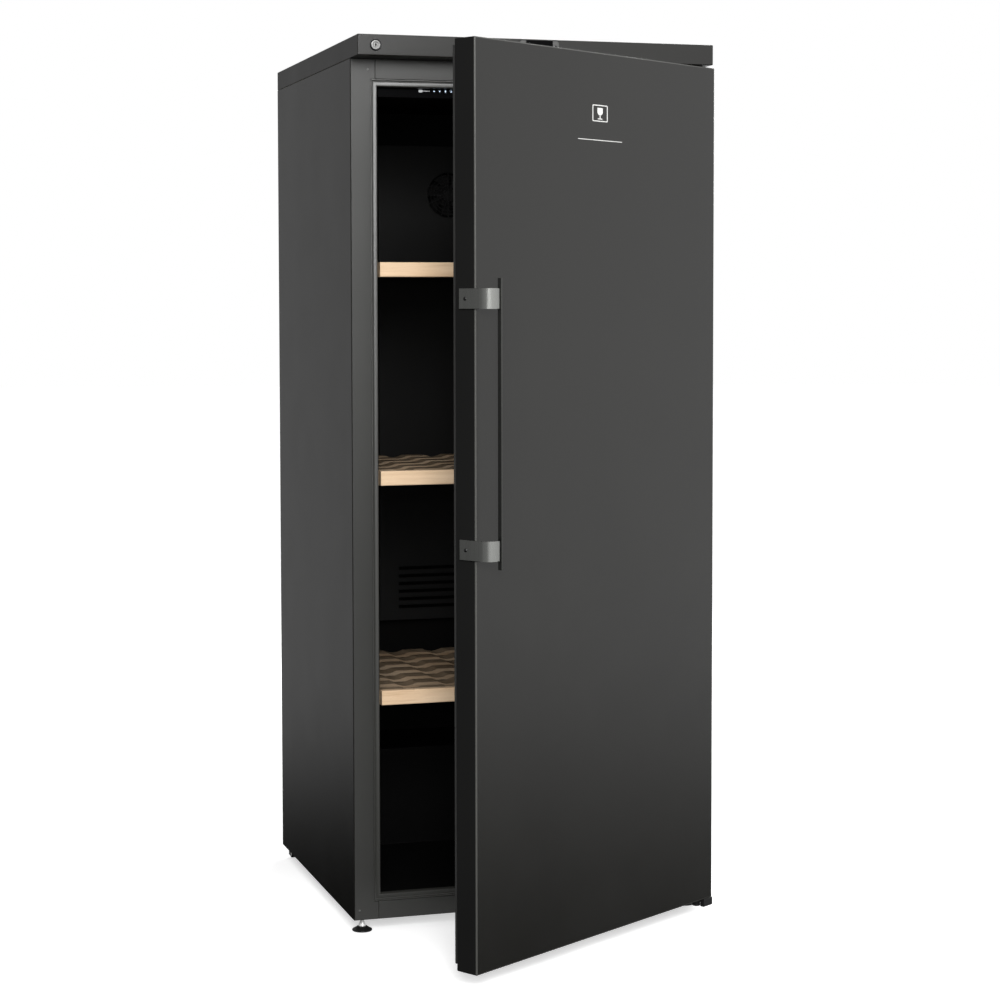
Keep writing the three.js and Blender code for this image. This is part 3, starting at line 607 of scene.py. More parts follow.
def make_back_panel():
    low, high = span("back_panel")
    bm = shape(add_block, low, high, 0.4)
    rib_depth, rib_width, margin, pitch = 1.5, 26, 44, 124
    for x in range(int(low.x) + 90, int(high.x) - 60, pitch):
        outline = rounded(x, x + rib_width, low.z + margin, high.z - margin, rib_width / 2)
        add_prism(bm, outline, "y", high.y - 0.4, high.y + rib_depth, 1.1, 3)
    piece("back_panel_pressed", bm, zinc, "back_panel")


def make_base_pan():
    low, high = span("base_pan")
    bm = bmesh.new()
    bm.from_mesh(frame["nodes"]["base_pan"].data)
    rib_width, margin, pitch = 20, 70, 96
    for y in range(int(low.y) + margin, int(high.y) - 60, pitch):
        outline = rounded(low.x + margin, high.x - margin, y, y + rib_width, rib_width / 2)
        add_prism(bm, outline, "z", high.z - 0.2, high.z + 0.2, 0.15)
    piece("base_pan_pressed", bm, zinc, "base_pan")


def make_screws():
    """The frame's screws are sunk, because the door's seal shuts over them."""
    width = span("side_panel_right")[1].x
    sunk = span("frame_post_left")[0].y + 1.1
    bm = bmesh.new()
    for x, z in ((33.5, 1576), (10.5, 42)):
        for px, spin in ((x, 15), (width - x, 50)):
            add_screw(bm, (px, sunk, z), "-y", 0.85, spin)
    piece("frame_screws", bm, satin)

    back = span("back_panel")
    bm = bmesh.new()
    for z in (250, 520, 800, 1080, 1360, 1575):
        for x in (back[0].x + 12, back[1].x - 12):
            add_screw(bm, (x, back[1].y - 0.1, z), "+y", 1.0, z % 90)
    piece("back_screws", bm, zinc_plated)


# ---- display, lock and hinges
def make_display():
    low, high = span("display_window")
    end_width, gap = 11.5, 0.25
    z0, z1 = low.z, high.z
    middle = rounded(low.x + end_width + gap, high.x - end_width - gap, z0, z1, 1.0)
    glass = shape(add_prism, middle, "y", low.y, high.y, 0.3)
    piece("display_glass", glass, panel_black, "display_window")

    ends = bmesh.new()
    radius = 4.0
    side = arc(radius, z1 - radius, radius, 90, 180, 6) + arc(radius, z0 + radius, radius, 180, 270, 6)
    side += [(end_width, z0), (end_width, z1)]
    for outer, inward in ((low.x, 1), (high.x, -1)):
        add_prism(ends, [(outer + inward * u, z) for u, z in side], "y", low.y, high.y, 0.4)
    piece("display_ends", ends, end_steel)

    key = [(0, -0.35), (2.6, -0.35), (3.1, -0.1), (3.1, 0.4), (0, 0.4)]
    place = (high.x - end_width / 2 - 0.5, low.y + 0.2, (z0 + z1) / 2 + 2)
    piece("display_key", shape(add_lathe, key, place, "y", 32), gloss)
    softened("electronics_box", grey_plastic, 1.5, segments=3)


def make_lock():
    low, high = span("lock_bezel")
    x, _, z = middle("lock_bezel")
    outer = (high.x - low.x) / 2
    barrel_low, barrel_high = span("lock_barrel")
    bore = (barrel_high.x - barrel_low.x) / 2
    ring = [(bore + 0.25, 1.5), (outer, 1.5), (outer, 0.5), (outer - 0.45, 0.08), (outer - 0.8, 0)]
    ring += [(bore + 0.7, 0.1), (bore + 0.25, 0.5), (bore + 0.25, 1.5)]
    piece("lock_ring", shape(add_lathe, ring, (x, low.y, z), "y", 64), gloss, "lock_bezel")

    front = barrel_low.y
    depth = barrel_high.y - front
    plug = 4.4
    profile = [(0, 0.5), (plug - 0.3, 0.5), (plug, 0.8), (plug, 1.6), (plug + 0.7, 1.6)]
    profile += [(plug + 0.7, 0.3), (plug + 1.1, 0), (bore - 1.0, 0), (bore - 0.3, 0.25)]
    profile += [(bore, 0.9), (bore, depth), (0, depth)]
    barrel = shape(add_lathe, profile, (x, front, z), "y", 64)
    keyway = shape(add_block, (x - 0.8, front - 1, z - 3.0), (x + 0.8, front + 4, z + 3.0))
    notch = shape(add_block, (x - 1.7, front - 1, z - 1.0), (x + 1.7, front + 4, z + 1.0))
    piece("lock_core", cut(barrel, keyway, notch), lock_steel, "lock_barrel")
    softened("lock_cam", zinc_plated, 0.4, shortest=5)


FOOT_HOLE = 7.1  # radius, in the hinge plate above the right foot


def make_hinges():
    low, high = span("lower_hinge_bracket")
    x, y, _ = middle("door_bush_lower")
    plate_top = span("side_panel_left")[0].z - STEEL_GAP
    plate_bottom = plate_top - 3
    bm = shape(add_block, (x - 25, -2, plate_bottom), (high.x, high.y, plate_top), 0.7, 3)
    add_block(bm, (x - 20, y, plate_bottom), (x + 3, 2, plate_top), 0.7, 3)
    nose = arc(x, y, 12, 0, 360, 47)
    add_prism(bm, nose, "z", plate_bottom, plate_top, 0.7, 3)
    foot_x, foot_y, _ = middle("foot_stem_right")
    hole = shape(add_lathe, rod(FOOT_HOLE, -9, 9), (foot_x, foot_y, plate_top))
    bm = cut(bm, hole)
    washer_top = span("door_bush_lower")[0].z - STEEL_GAP
    washer = [(0, plate_top - 0.5), (7, plate_top - 0.5), (7, washer_top - 0.4), (6.6, washer_top)]
    add_lathe(bm, washer + [(0, washer_top)], (x, y, 0))
    height = plate_bottom - low.z
    nut = [(0, 0), (6.8, 0), (8, 1.2), (8, 3.6), (7.4, 4.2), (7.4, 5.4), (8, 6), (8, height), (0, height)]
    add_lathe(bm, nut, (x, y, low.z), sides=40)
    pin = [(0, plate_top), (4, plate_top), (4, high.z - 1), (3, high.z), (0, high.z)]
    add_lathe(bm, pin, (x, y, 0), sides=32)
    for dy in (52, 76):
        add_screw(bm, (x - 8, dy, plate_bottom + 0.1), "-z", 1.2, 10)
    piece("lower_hinge", bm, black_steel, "lower_hinge_bracket")
    softened("upper_hinge_bracket", black_steel, 0.4, shortest=8)


# ---- feet and rollers
THREAD = 1.0  # the feet's thread, from crest to crest


def make_feet():
    for side in ("left", "right"):
        low, high = span("foot_pad_" + side)
        x, y, radius = (low.x + high.x) / 2, (low.y + high.y) / 2, (high.x - low.x) / 2
        centre = (x, y, 0)
        pad = [(0, 0), (radius - 1.2, 0), (radius - 0.3, 0.35), (radius, 1.2), (radius, 2.3)]
        pad += [(radius - 0.5, 3.0), (14, 4.9), (10.4, 7.4), (9.3, 8.0), (0, 8.0)]
        disc = shape(add_lathe, pad, centre, sides=72)
        piece("foot_disc_" + side, disc, foot_plastic, "foot_pad_" + side)

        base, top = (corner.z for corner in span("foot_stem_" + side))
        flange = [(6.2, 0), (6.95, 0.5), (6.8, 1.2), (5.9, 3.4), (4.6, 6.8), (3.7, 9.2), (3.6, 10.6)]
        stem = [(0, base), *((reach, base + rise) for reach, rise in flange), (4.4, base + 11.3)]
        z = base + 11.6
        while z < top - 2.2:
            stem += [(5.0, z), (4.5, z + THREAD / 2)]
            z += THREAD
        stem += [(5.0, top - 1.2), (4.0, top), (0, top)]
        stud = shape(add_lathe, stem, centre)
        # the stud's pale plating is partly painted reflection
        piece("foot_stud_" + side, stud, plating_and_painted_reflection, "foot_stem_" + side)


def make_rollers():
    for side in ("left", "right"):
        low, high = span("roller_" + side)
        half, radius, bore = (high.x - low.x) / 2, (high.z - low.z) / 2, 2.85
        tread = [(bore, -half + 1.5), (6.4, -half + 1.5), (6.8, -half), (radius - 1, -half)]
        tread += [(radius, -half + 1), (radius, half - 1), (radius - 1, half), (6.8, half)]
        tread += [(6.4, half - 1.5), (bore, half - 1.5), (bore, -half + 1.5)]
        wheel = shape(add_lathe, tread, middle("roller_" + side), "x")
        piece("roller_wheel_" + side, wheel, black_plastic, "roller_" + side)
        softened("roller_bracket_" + side, zinc_plated, 0.35, shortest=4)


# ---- inside
def make_inside():
    softened("inner_liner", liner_plastic, 2.0, segments=3, shortest=60)
    make_controls()
    make_light()
    make_shelves()
    make_air_duct()
    make_fan()


ICONS = {
    1: [[(-1.7, -1.0), (1.7, -1.0), (0, 1.9)]],
    2: [[(-1.7, 1.2), (0, -1.7), (1.7, 1.2)]],
    3: [arc(0, 0.5, 1.35, -50, 230, 14), rounded(-0.75, 0.75, -1.9, -1.0, 0.2, 2)],
    4: [
        [(-0.32, 0.2), (0.32, 0.2), (0.32, 2.0), (-0.32, 2.0)],
        arc(0, 0, 1.75, 115, 425, 20) + arc(0, 0, 1.2, 425, 115, 20),
    ],
}


def make_controls():
    softened("control_panel", panel_black, 0.8, shortest=20)
    for number, strokes in ICONS.items():
        node = f"button_{number}"
        low, high = span(node)
        x, _, z = middle(node)
        outline = rounded(low.x, high.x, low.z, high.z, 1.2)
        cap = shape(add_prism, outline, "y", low.y, high.y, 0.4, 3)
        piece(f"button_cap_{number}", cap, panel_black, node)
        icon = bmesh.new()
        for stroke in strokes:
            outline = [(x + u, z + v) for u, v in stroke]
            add_prism(icon, outline, "y", low.y - 0.08, low.y + 0.3)
        piece(f"button_icon_{number}", icon, icon_light, body=body_of(node))
    make_lamps()


def make_lamps():
    """A round-ended window and five small lamps, to the left of the first button."""
    front = span("control_panel")[0].y
    start, z = span("button_1")[0].x - 25, middle("button_1").z
    lamps = bmesh.new()
    add_prism(lamps, rounded(start, start + 8, z - 2.6, z + 2.6, 2.5), "y", front - 0.15, front + 0.3, 0.1)
    for i in range(5):
        x = start + 9.6 + i * 2.5
        add_prism(lamps, rounded(x, x + 1.3, z - 1.2, z + 1.2, 0.5, 3), "y", front - 0.15, front + 0.3)
    piece("status_lamps", lamps, status_white)


def make_light():
    low, high = span("light_bar")
    outline = rounded(low.x, high.x, low.y, high.y, 4)
    bm = shape(add_prism, outline, "z", low.z + 1.0, high.z, 0.9, 3)
    bead = [(0, 0), (2.6, 0.15), (3.8, 1.2), (0, 1.2)]
    beads, margin = 16, 8
    for i in range(beads):
        x = low.x + margin + i * (high.x - low.x - 2 * margin) / (beads - 1)
        add_lathe(bm, bead, (x, (low.y + high.y) / 2, low.z))
    piece("light_cover", bm, lens, "light_bar")


def make_shelves():
    for number in (1, 2, 3):
        node = f"shelf_front_{number}"
        low, high = span(node)
        section = rounded(low.y, high.y, low.z, high.z, 2.4, 5)
        strip = shape(add_prism, section, "x", low.x, high.x, 0.8)
        piece(f"shelf_strip_{number}", strip, beech, node)
        make_deck(number)


def make_deck(number):
    """Slats across two side rails; on the lower two the slats are scalloped for lying bottles."""
    node = f"shelf_deck_{number}"
    low, high = span(node)
    rail, slat_width, slats = 18, 42, 7
    bm = bmesh.new()
    for x in (low.x, high.x - rail):
        add_block(bm, (x, low.y, low.z), (x + rail, high.y, high.z), 1.2)
    pitch = (high.y - low.y - slat_width) / (slats - 1)
    top, bottom = high.z - 0.5, high.z - 10
    outline = [(high.x - 1, bottom), (high.x - 1, top)]
    if number == 1:
        outline += [(low.x + 1, top)]
    else:
        bays, depth, bay, radius = 6, 5.0, 84.0, 44.0
        start = (low.x + high.x) / 2 + bays * bay / 2
        reach = radius - depth
        half = (radius**2 - reach**2) ** 0.5
        for i in range(bays):
            centre = start - bay * (i + 0.5)
            outline.append((centre + half + 3, top))
            for step in range(13):
                x = centre + half - step * half / 6
                outline.append((x, top + reach - (radius**2 - (x - centre) ** 2) ** 0.5))
            outline.append((centre - half - 3, top))
        outline += [(low.x + 1, top)]
    outline += [(low.x + 1, bottom)]
    for i in range(slats):
        y = low.y + i * pitch
        add_prism(bm, outline, "y", y, y + slat_width, 0.9)
    # the slats' dark beech is painted shade
    piece(f"shelf_slats_{number}", bm, shaded_deck_wood, node)


def make_air_duct():
    softened("air_duct_cover", black_plastic, 0.5, shortest=12)
    softened("evaporator", aluminium, 0.8)
    x, _, z = middle("fan_impeller")
    front = span("air_duct_cover")[0].y
    guard = bmesh.new()
    for radius in (12, 19, 26, 33, 40, 47):
        add_ring(guard, radius, 0.8, (x, front - 1.2, z))
    for i in range(8):
        a = pi * (i + 0.5) / 4
        start = (x + 12 * cos(a), front - 0.6, z + 12 * sin(a))
        end = (x + 49 * cos(a), front - 0.6, z + 49 * sin(a))
        add_tube(guard, [start, end], 0.9, 8)
    piece("fan_guard", guard, black_plastic)


def add_ring(bm, radius, wire, centre):
    """A ring of round wire in the plane of X and Z."""
    x, y, z = centre
    rings = []
    for u, v in circle(64):
        places = [(radius + wire * out, wire * back) for out, back in circle(8)]
        rings.append([bm.verts.new(at(x + r * u, y + back, z + r * v)) for r, back in places])
    for ring, following in zip(rings, rings[1:] + rings[:1]):
        join_rings(bm, ring, following)


def make_fan():
    low, high = span("fan_impeller")
    x, _, z = middle("fan_impeller")
    depth = high.y - low.y
    hub = [(0, 0), (9, 0.1), (13.6, 1.0), (15, 2.6), (15, depth), (0, depth)]
    bm = shape(add_lathe, hub, (x, low.y, z), "y")
    blades, steps, reach = 7, 8, 42.0
    for i in range(blades):
        turn = 2 * pi * i / blades
        sides = []
        for lift in (0.0, 1.3):
            rows = []
            for j in range(steps + 1):
                r = 14 + (reach - 14) * j / steps
                row = []
                for k in range(5):
                    a = turn + (k / 4 - 0.5) * 0.62 + 0.22 * (j / steps) ** 2
                    y = low.y + 2 + lift + (depth - 5) * k / 4
                    row.append(bm.verts.new(at(x + r * cos(a), y, z + r * sin(a))))
                rows.append(row)
            sides.append(rows)
        close_sheet(bm, *sides)
    piece("fan_wheel", bm, black_plastic, "fan_impeller")

    low, high = span("fan_motor")
    radius, depth = (high.x - low.x) / 2, high.y - low.y
    can = [(0, 0), (radius - 3, 0), (radius - 0.6, 0.8), (radius, 2.4), (radius, depth), (0, depth)]
    piece("fan_motor_can", shape(add_lathe, can, (x, low.y, z), "y"), black_plastic, "fan_motor")


def close_sheet(bm, front, back):
    """Joins two grids of points into one thin solid."""
    rows, columns = len(front), len(front[0])
    for grid in (front, back):
        for j in range(rows - 1):
            for k in range(columns - 1):
                bm.faces.new((grid[j][k], grid[j][k + 1], grid[j + 1][k + 1], grid[j + 1][k]))
    rim = [(j, 0) for j in range(rows)]
    rim += [(rows - 1, k) for k in range(1, columns)]
    rim += [(j, columns - 1) for j in range(rows - 2, -1, -1)]
    rim += [(0, k) for k in range(columns - 2, 0, -1)]
    for (j, k), (m, n) in zip(rim, rim[1:] + rim[:1]):
        bm.faces.new((front[j][k], front[m][n], back[m][n], back[j][k]))


# ---- machine side
COMPRESSOR_FEET = (80, 46)  # half the spacing of its four grommets across and along
COMPRESSOR_X = span("compressor")[1].x - COMPRESSOR_FEET[0] - 15
SHELL_RADIUS = 71.0
PIPE_RADIUS = 2.6


def make_compressor():
    low, high = span("compressor")
    x, y = COMPRESSOR_X, (low.y + high.y) / 2
    base, top, radius = low.z + 12.5, high.z, SHELL_RADIUS
    curve = [(19, 0.5), (11, 4), (4, 12), (0.4, 24), (0, 34), (0, 88), (-1, 89), (-1, 93), (0, 94)]
    curve += [(1, 102), (5, 116), (12, 129), (23, 139)]
    shell = [(0, base + 0.5), *((radius - inset, base + rise) for inset, rise in curve)]
    shell += [(radius - 37, top - 3.5), (radius - 53, top - 1), (0, top)]
    bm = shape(add_lathe, shell, (x, y, 0), sides=72)
    reach, half = COMPRESSOR_FEET
    plate = rounded(x - reach - 15, x + reach + 15, y - half - 16, y + half + 16, 12)
    add_prism(bm, plate, "z", base - 4, base - 1, 0.7)
    piece("compressor_shell", bm, black_steel, "compressor")
    make_compressor_mounts(x, y, low.z, base)
    make_relay_cover(low.x, x, y, base)

    stubs = bmesh.new()
    rise = [(x + 40, y + 53, 110), (x + 52, y + 71, 112), (x + 62, y + 87, 122), (x + 64, y + 92, 150)]
    add_tube(stubs, smooth_path(rise) + [Vector((x + 64, y + 92, 172))], PIPE_RADIUS + 0.4, 12)
    side = [(x + 20, y + 57, 92), (x + 24, y + 75, 92), (x + 26, y + 89, 90)]
    add_tube(stubs, smooth_path(side), PIPE_RADIUS + 0.4, 12)
    piece("compressor_stubs", stubs, copper)
    softened("drip_tray", grey_plastic, 0.7)


def make_compressor_mounts(x, y, floor, base):
    """A ribbed rubber bush, a washer and a bolt head at each of the four corners."""
    reach, half = COMPRESSOR_FEET
    bush = [(0, 0), (12, 0), (12, 2.7), (10, 4.1), (10, 5.5), (12, 6.7), (12, 8.3), (0, 8.3)]
    washer = rod(9, 0, 1.2)
    rubbers, bolts = bmesh.new(), bmesh.new()
    for corner_x in (x - reach, x + reach):
        for corner_y in (y - half, y + half):
            add_lathe(rubbers, bush, (corner_x, corner_y, floor + 0.1), sides=32)
            add_lathe(bolts, washer, (corner_x, corner_y, base - 1), sides=32)
            hexagon = arc(corner_x, corner_y, 6.5, 0, 300, 5)
            add_prism(bolts, hexagon, "z", base - 1, base + 4, 0.5)
    piece("compressor_grommets", rubbers, grommet)
    piece("compressor_bolts", bolts, zinc_plated)


def make_relay_cover(start, x, y, base):
    box = bmesh.new()
    outline = rounded(y - 26, y + 26, base + 34, base + 92, 6)
    add_prism(box, outline, "x", start, x - SHELL_RADIUS + 5, 2.0, 3)
    panel = rounded(y - 20, y + 20, base + 40, base + 86, 4)
    add_prism(box, panel, "x", start - 0.5, start + 0.5, 0.3)
    piece("relay_cover", box, black_plastic)


CONDENSER_RUNS = 17
CONDENSER_WIRES = 44


def make_condenser():
    """A tube that runs to and fro across the back, with wires and three straps welded over it."""
    low, high = span("condenser")
    y = (low.y + high.y) / 2
    x0, x1 = 90.0, span("side_panel_right")[1].x - 90
    z0, z1 = low.z + 20, high.z - 20
    pitch = (z1 - z0) / (CONDENSER_RUNS - 1)
    path = [(x0, y, z0)]
    for i in range(CONDENSER_RUNS):
        z = z0 + i * pitch
        end, side = (x0, -1) if i % 2 else (x1, 1)
        path.append((end, y, z))
        if i < CONDENSER_RUNS - 1:
            bend = arc(0, z + pitch / 2, pitch / 2, -75, 90, 11)
            path += [(end + side * out, y, height) for out, height in bend]
    bm = shape(add_tube, path, PIPE_RADIUS)
    for i in range(CONDENSER_WIRES):
        x = x0 + 12 + i * (x1 - x0 - 24) / (CONDENSER_WIRES - 1)
        for side in (-1, 1):
            wire_y = y + side * (PIPE_RADIUS + 0.7)
            add_tube(bm, [(x, wire_y, z0 - 16), (x, wire_y, z1 + 16)], 0.8, 6)
    wall = span("back_panel")[1].y
    for x in (x0 + 25, (x0 + x1) / 2, x1 - 25):
        inner = y - PIPE_RADIUS
        add_block(bm, (x - 5, inner - 1.9, low.z), (x + 5, inner - 0.6, high.z), 0.3)
        for z in (low.z + 40, (low.z + high.z) / 2, high.z - 40):
            add_block(bm, (x - 8, wall + 0.2, z - 7), (x + 8, inner - 0.8, z + 7), 0.8)
    piece("condenser_grid", bm, black_steel, "condenser")


def make_pipes():
    grid_low, grid_high = span("condenser")
    y = (grid_low.y + grid_high.y) / 2
    start_z = grid_low.z + 20
    route = [(COMPRESSOR_X - 30, y - 33, 175), (COMPRESSOR_X - 30, y - 12, 188)]
    route += [(COMPRESSOR_X - 60, y - 1, 205), (250, y, 212), (140, y, 216), (90, y, 235)]
    route += [(66, y, start_z - 38), (60, y, start_z - 16), (68, y, start_z - 1), (89.2, y, start_z)]
    discharge = shape(add_tube, smooth_path(route, 10), PIPE_RADIUS, 12)
    piece("discharge_line", discharge, copper, "discharge_pipe")

    low, high = span("filter_drier")
    x, drier_y, _ = middle("filter_drier")
    drier = [(0, 0), (3, 0), (3, 8), (3.6, 10), (7.6, 14), (9, 18), (9, 31), (8.6, 32)]
    drier += [(8.6, 34), (9, 35), (9, 94), (7.6, 98), (3.6, 102), (3, 104), (3, 112), (0, 112)]
    bm = shape(add_lathe, drier, (x, drier_y, low.z), sides=40)
    top = grid_high.z - 20
    down = [(590, y, top), (612, y, top - 4), (624, y, top - 30), (626, y - 1, top - 100)]
    along = [(626, y - 1, 320), (625, y - 2, 260), (610, y - 14, 226), (x, drier_y, high.z - 3)]
    add_tube(bm, smooth_path(down) + smooth_path(along), PIPE_RADIUS - 0.2)
    add_capillary_coil(bm, x, drier_y, low.z)
    piece("drier_and_line", bm, copper, "filter_drier")
    softened("cable_gland", black_plastic, 0.8, shortest=6)


def add_capillary_coil(bm, x, y, z):
    """The thin tube that leaves the drier's foot in four turns."""
    radius, rise, steps, turns = 17.0, 1.44, 24, 4
    coil = []
    for i in range(steps * turns + 1):
        a = 2 * pi * i / steps
        lift = 3 + rise * i / steps
        coil.append(Vector((x - 2 * radius + radius * cos(a), y + 1, z + lift + radius * sin(a))))
    lead = [(x, y, z + 2), (x - 2, y, z - 7), (x - 10, y + 1, z - 7), coil[0]]
    add_tube(bm, smooth_path(lead, 6) + coil[1:], 1.0, 8)


# ---- door
PIN_BORE = 4.3  # radius of the hole in each hinge bush


def make_door():
    make_door_slab()
    make_door_liner()
    make_gasket()
    make_handle()
    make_emblem()
    for end in ("lower", "upper"):
        node = "door_bush_" + end
        low, high = span(node)
        radius, bore, length = (high.x - low.x) / 2, PIN_BORE, high.z - low.z
        profile = [(bore, 0), (radius - 0.3, 0), (radius, 0.3), (radius, length - 0.3)]
        profile += [(radius - 0.3, length), (bore, length), (bore, 0)]
        centre = ((low.x + high.x) / 2, (low.y + high.y) / 2, low.z)
        piece("hinge_bush_" + end, shape(add_lathe, profile, centre), grey_plastic, node)
    softened("door_stop", black_plastic, 1.2, segments=3)


def make_door_slab():
    low, high = span("door_skin")
    bush_low, bush_high = span("door_bush_lower")
    x, y, _ = middle("door_bush_lower")
    radius = (bush_high.x - bush_low.x) / 2 + STEEL_GAP
    length = bush_high.z - bush_low.z + STEEL_GAP
    lip = 12.0
    cam = span("lock_cam")
    slab = shape(add_block, low, high, 2.3, 4)
    pocket = shape(add_block, (lip, high.y - 5, low.z + lip), (high.x - lip, high.y + 5, high.z - lip))
    slot_left, slot_right, slot_depth, clear = 23, 43, 18, 2.5
    slot_low = (slot_left, cam[0].y - clear, high.z - slot_depth)
    slot = shape(add_block, slot_low, (slot_right, cam[1].y + clear, high.z + 5))
    depths = (low.z - 5, low.z + length), (high.z - length, high.z + 5)
    wells = [shape(add_lathe, rod(radius, z0, z1), (x, y, 0)) for z0, z1 in depths]
    bm = cut(slab, pocket, slot, *wells)
    bm.normal_update()
    edge, rim = 0.15, 0.99  # a face that looks to the front less than this is edge, or rim; edge faces are a dull near-black with painted shade, rim faces a lighter paint that is a painted highlight
    for face in bm.faces:
        towards_front = -face.normal.y
        if towards_front < edge:
            face.material_index = 1
        elif towards_front < rim:
            face.material_index = 2
    piece("door_slab", bm, casing, "door_skin", "door_foam", extra=(edge_black_and_shade, rim_highlight))


def make_door_liner():
    """The door's inner panel: a sheet, a raised field and a second step inside it."""
    lip = 12.3
    door_low, door_high = span("door_skin")
    x0, x1 = lip, door_high.x - lip
    z0, z1 = door_low.z + lip, door_high.z - lip
    back = span("door_liner")[1].y
    bm = shape(add_prism, rounded(x0, x1, z0, z1, 3), "y", back - 3.4, back, 0.6)
    hump = rounded(x0 + 34, x1 - 38, z0 + 36, z1 - 36, 16, 8)
    add_prism(bm, hump, "y", back - 1, back + 6.5, 4.5, 5)
    panel = rounded(x0 + 64, x1 - 68, z0 + 66, z1 - 66, 10, 6)
    add_prism(bm, panel, "y", back + 4, back + 8.0, 1.3, 3)
    piece("door_inner_panel", bm, inner_panel_plastic, "door_liner")


def make_gasket():
    """The magnetic seal: a foot in the door, a bellows, and a flat face."""
    low, high = span("door_gasket")
    section = [(3, 0), (14, 0), (14.6, 1.6), (12.2, 2.2), (12.2, 4.0), (15.4, 5.2), (17, 7.0)]
    section += [(17, 10.6), (16.2, 12.0), (14.5, 12.2), (3, 12.2), (1, 11.8), (0, 10.4), (0, 8.2)]
    section += [(2.2, 6.6), (4.6, 4.4), (2.6, 3.0), (1.4, 1.4)]
    placed = [(inset, low.y + depth) for inset, depth in section]
    bm = shape(add_swept_rectangle, placed, low.x, high.x, low.z, high.z)
    piece("door_seal", bm, seal, "door_gasket")


HANDLE_SCREW_Y = -38
BAR_TRIM = 1.4  # the photograph's bar is this much thinner than the CAD's


def make_handle():
    thickness, bend = 3.0, 22.0
    bar_low, bar_high = span("handle_bar")
    screws = bmesh.new()
    for end in ("lower", "upper"):
        node = "handle_strap_" + end
        low, high = span(node)
        outer, turn = low.x, low.y + bend
        outline = [(outer + thickness, high.y), (outer, high.y)]
        outline += arc(outer + bend, turn, bend, 180, 270, 20)
        outline += [(bar_low.x - 0.2, low.y), (bar_low.x - 0.2, low.y + thickness)]
        outline += arc(outer + bend, turn, bend - thickness, 270, 180, 20)
        strap = shape(add_prism, outline, "z", low.z, high.z, 0.6, 3)
        piece("handle_arm_" + end, strap, strap_steel, node)
        add_screw(screws, (outer + 0.05, HANDLE_SCREW_Y, (low.z + high.z) / 2), "-x", 1.0, 25)
    piece("handle_screws", screws, dark_screw, body="door")
    section = rounded(bar_low.x, bar_high.x - BAR_TRIM, bar_low.y, bar_high.y, 0.7, 5)
    bar = shape(add_prism, section, "z", bar_low.z, bar_high.z, 0.5, 3)
    piece("handle_grip", bar, bar_steel, "handle_bar")


EMBLEM = (312.0, 355.0, 1471.0, 1500.0)  # left, right, bottom, top
EMBLEM_LINE = (271.5, 396.6, 1438.5)  # left, right, height


def make_emblem():
    """A generic wine-glass sign in a frame, with a thin line under it, printed on the door."""
    front = span("door_skin")[0].y
    proud, sunk = front - 0.12, front + 0.3
    x0, x1, z0, z1 = EMBLEM
    x, line = (x0 + x1) / 2, 1.6
    frame_outline = rounded(x0, x1, z0, z1, 2.4, 5)
    window = rounded(x0 + line * 1.3, x1 - line * 1.3, z0 + line, z1 - line, 1.4, 5)
    hole = shape(add_prism, window, "y", proud - 1, sunk + 1)
    bm = cut(shape(add_prism, frame_outline, "y", proud, sunk), hole)

    bowl_radius = 7.5
    rim_z, bowl_z = z1 - 5, z1 - 12
    bowl = [(x - bowl_radius, rim_z)]
    bowl += [(u, bowl_z + (v - bowl_z) * 0.8) for u, v in arc(x, bowl_z, bowl_radius, 180, 360, 14)]
    bowl.append((x + bowl_radius, rim_z))
    stem = [(x - 1.1, z0 + 5), (x + 1.1, z0 + 5), (x + 1.1, z1 - 17), (x - 1.1, z1 - 17)]
    foot = rounded(x - 6.5, x + 6.5, z0 + 4, z0 + 5.6, 0.7, 3)
    left, right, height = EMBLEM_LINE
    rule = rounded(left, right, height - 0.6, height + 0.6, 0.5, 2)
    for outline in (bowl, stem, foot, rule):
        add_prism(bm, outline, "y", proud, sunk)
    piece("door_emblem", bm, print_white, body="door")


# ---- studio
# Light by direction: degrees from +X towards +Y, and a brightness that STUDIO_RISE scales. The rise
# runs between two heights of the direction's unit vector, from and to two strengths.
STUDIO_ROUND = [(-180, 0.13), (-165, 0.12), (-140, 0.2), (-112, 0.2), (-96, 0.5), (-80, 0.62)]
STUDIO_ROUND += [(-40, 0.58), (-10, 0.49), (35, 0.42), (80, 0.18), (106, 0.115), (130, 0.1)]
STUDIO_ROUND += [(152, 0.012), (163, 0.1), (180, 0.13)]
STUDIO_RISE = {"From_Min": -0.24, "From_Max": -0.17, "To_Min": 0.02, "To_Max": 2.0}


def add_floor():
    bm = bmesh.new()
    bmesh.ops.create_circle(bm, cap_ends=True, segments=96, radius=30)
    floor = new_object("studio_floor", bm)
    floor.location.z = -0.0005
    look = painted("studio_floor", "casing_paint", (0.86, 0.86, 0.86), 0.9, specular=0.0)
    look.set(Emission_Color=(1, 1, 1, 1), Emission_Strength=0.55)
    floor.data.materials.append(look.material)
    floor.visible_diffuse = False
    floor.visible_glossy = False


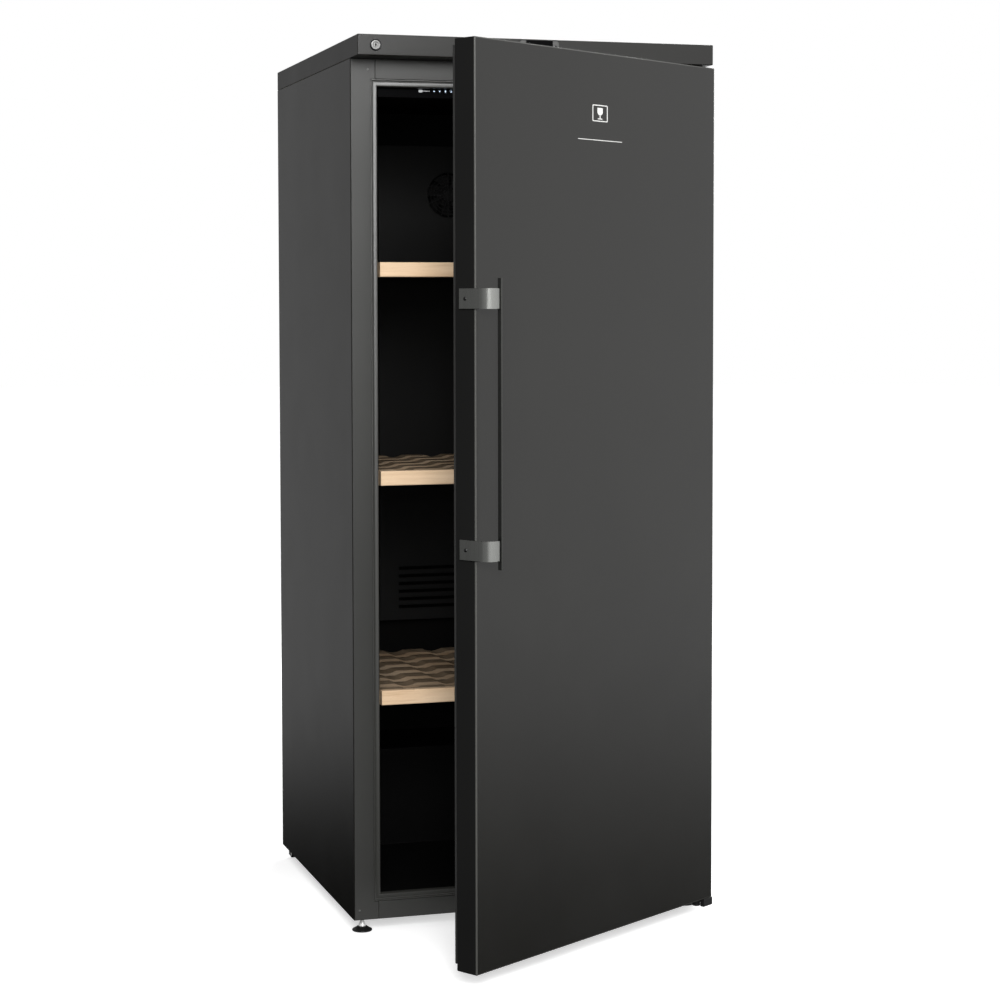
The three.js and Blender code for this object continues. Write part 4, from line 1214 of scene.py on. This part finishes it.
def add_world():
    """White to the camera. To the object, a studio that is brightest in front and to the right, dim
    behind and to the left, and dark below the height where the floor starts."""
    world = bpy.data.worlds.new("studio")
    bpy.context.scene.world = world
    nodes = Nodes(world)
    nodes.tree.nodes.clear()
    node, link = nodes.node, nodes.link

    split = node("SeparateXYZ")
    link(node("TexCoord").outputs["Generated"], split.inputs[0])
    heading = node("Math", operation="ARCTAN2")
    link(split.outputs["Y"], heading.inputs[0])
    link(split.outputs["X"], heading.inputs[1])
    turn = nodes.map_range(heading.outputs[0], From_Min=-pi, From_Max=pi)
    stops = [((degrees + 180) / 360, (light,) * 3) for degrees, light in STUDIO_ROUND]
    rise = nodes.map_range(split.outputs["Z"], **STUDIO_RISE)
    rise.interpolation_type = "SMOOTHSTEP"
    around = node("Background")
    link(nodes.ramp(turn.outputs["Result"], stops), around.inputs["Color"])
    link(rise.outputs["Result"], around.inputs["Strength"])

    seen = node("Background", Color=(1, 1, 1, 1))
    choose = node("MixShader")
    link(node("LightPath").outputs["Is Camera Ray"], choose.inputs[0])
    link(around.outputs[0], choose.inputs[1])
    link(seen.outputs[0], choose.inputs[2])
    link(choose.outputs[0], node("OutputWorld").inputs["Surface"])


def add_softbox(name, place, target, size, power, mirrored=True):
    data = bpy.data.lights.new(name, "AREA")
    data.shape = "RECTANGLE"
    data.size, data.size_y = size
    data.energy = power
    made = bpy.data.objects.new(name, data)
    bpy.context.scene.collection.objects.link(made)
    made.location = place
    made.rotation_euler = (Vector(target) - Vector(place)).to_track_quat("-Z", "Y").to_euler()
    made.visible_camera = False
    made.visible_glossy = mirrored


def add_studio():
    add_floor()
    add_world()
    add_softbox("key_softbox", (-1.3, -3.7, 1.9), (-0.2, 0, 0.9), (1.4, 1.8), 140, mirrored=False)
    add_softbox("high_softbox", (-0.45, -3.8, 2.35), (-0.2, 0, 1.1), (1.6, 1.2), 48)
    add_softbox("back_softbox", (1.6, 3.2, 2.2), (0.1, 0.4, 0.8), (1.5, 1.5), 60)
    bpy.context.scene.view_settings.view_transform = "Standard"


# ---- assembly
make_casing()
make_display()
make_lock()
make_hinges()
make_feet()
make_rollers()
make_inside()
make_compressor()
make_condenser()
make_pipes()
make_door()
add_studio()
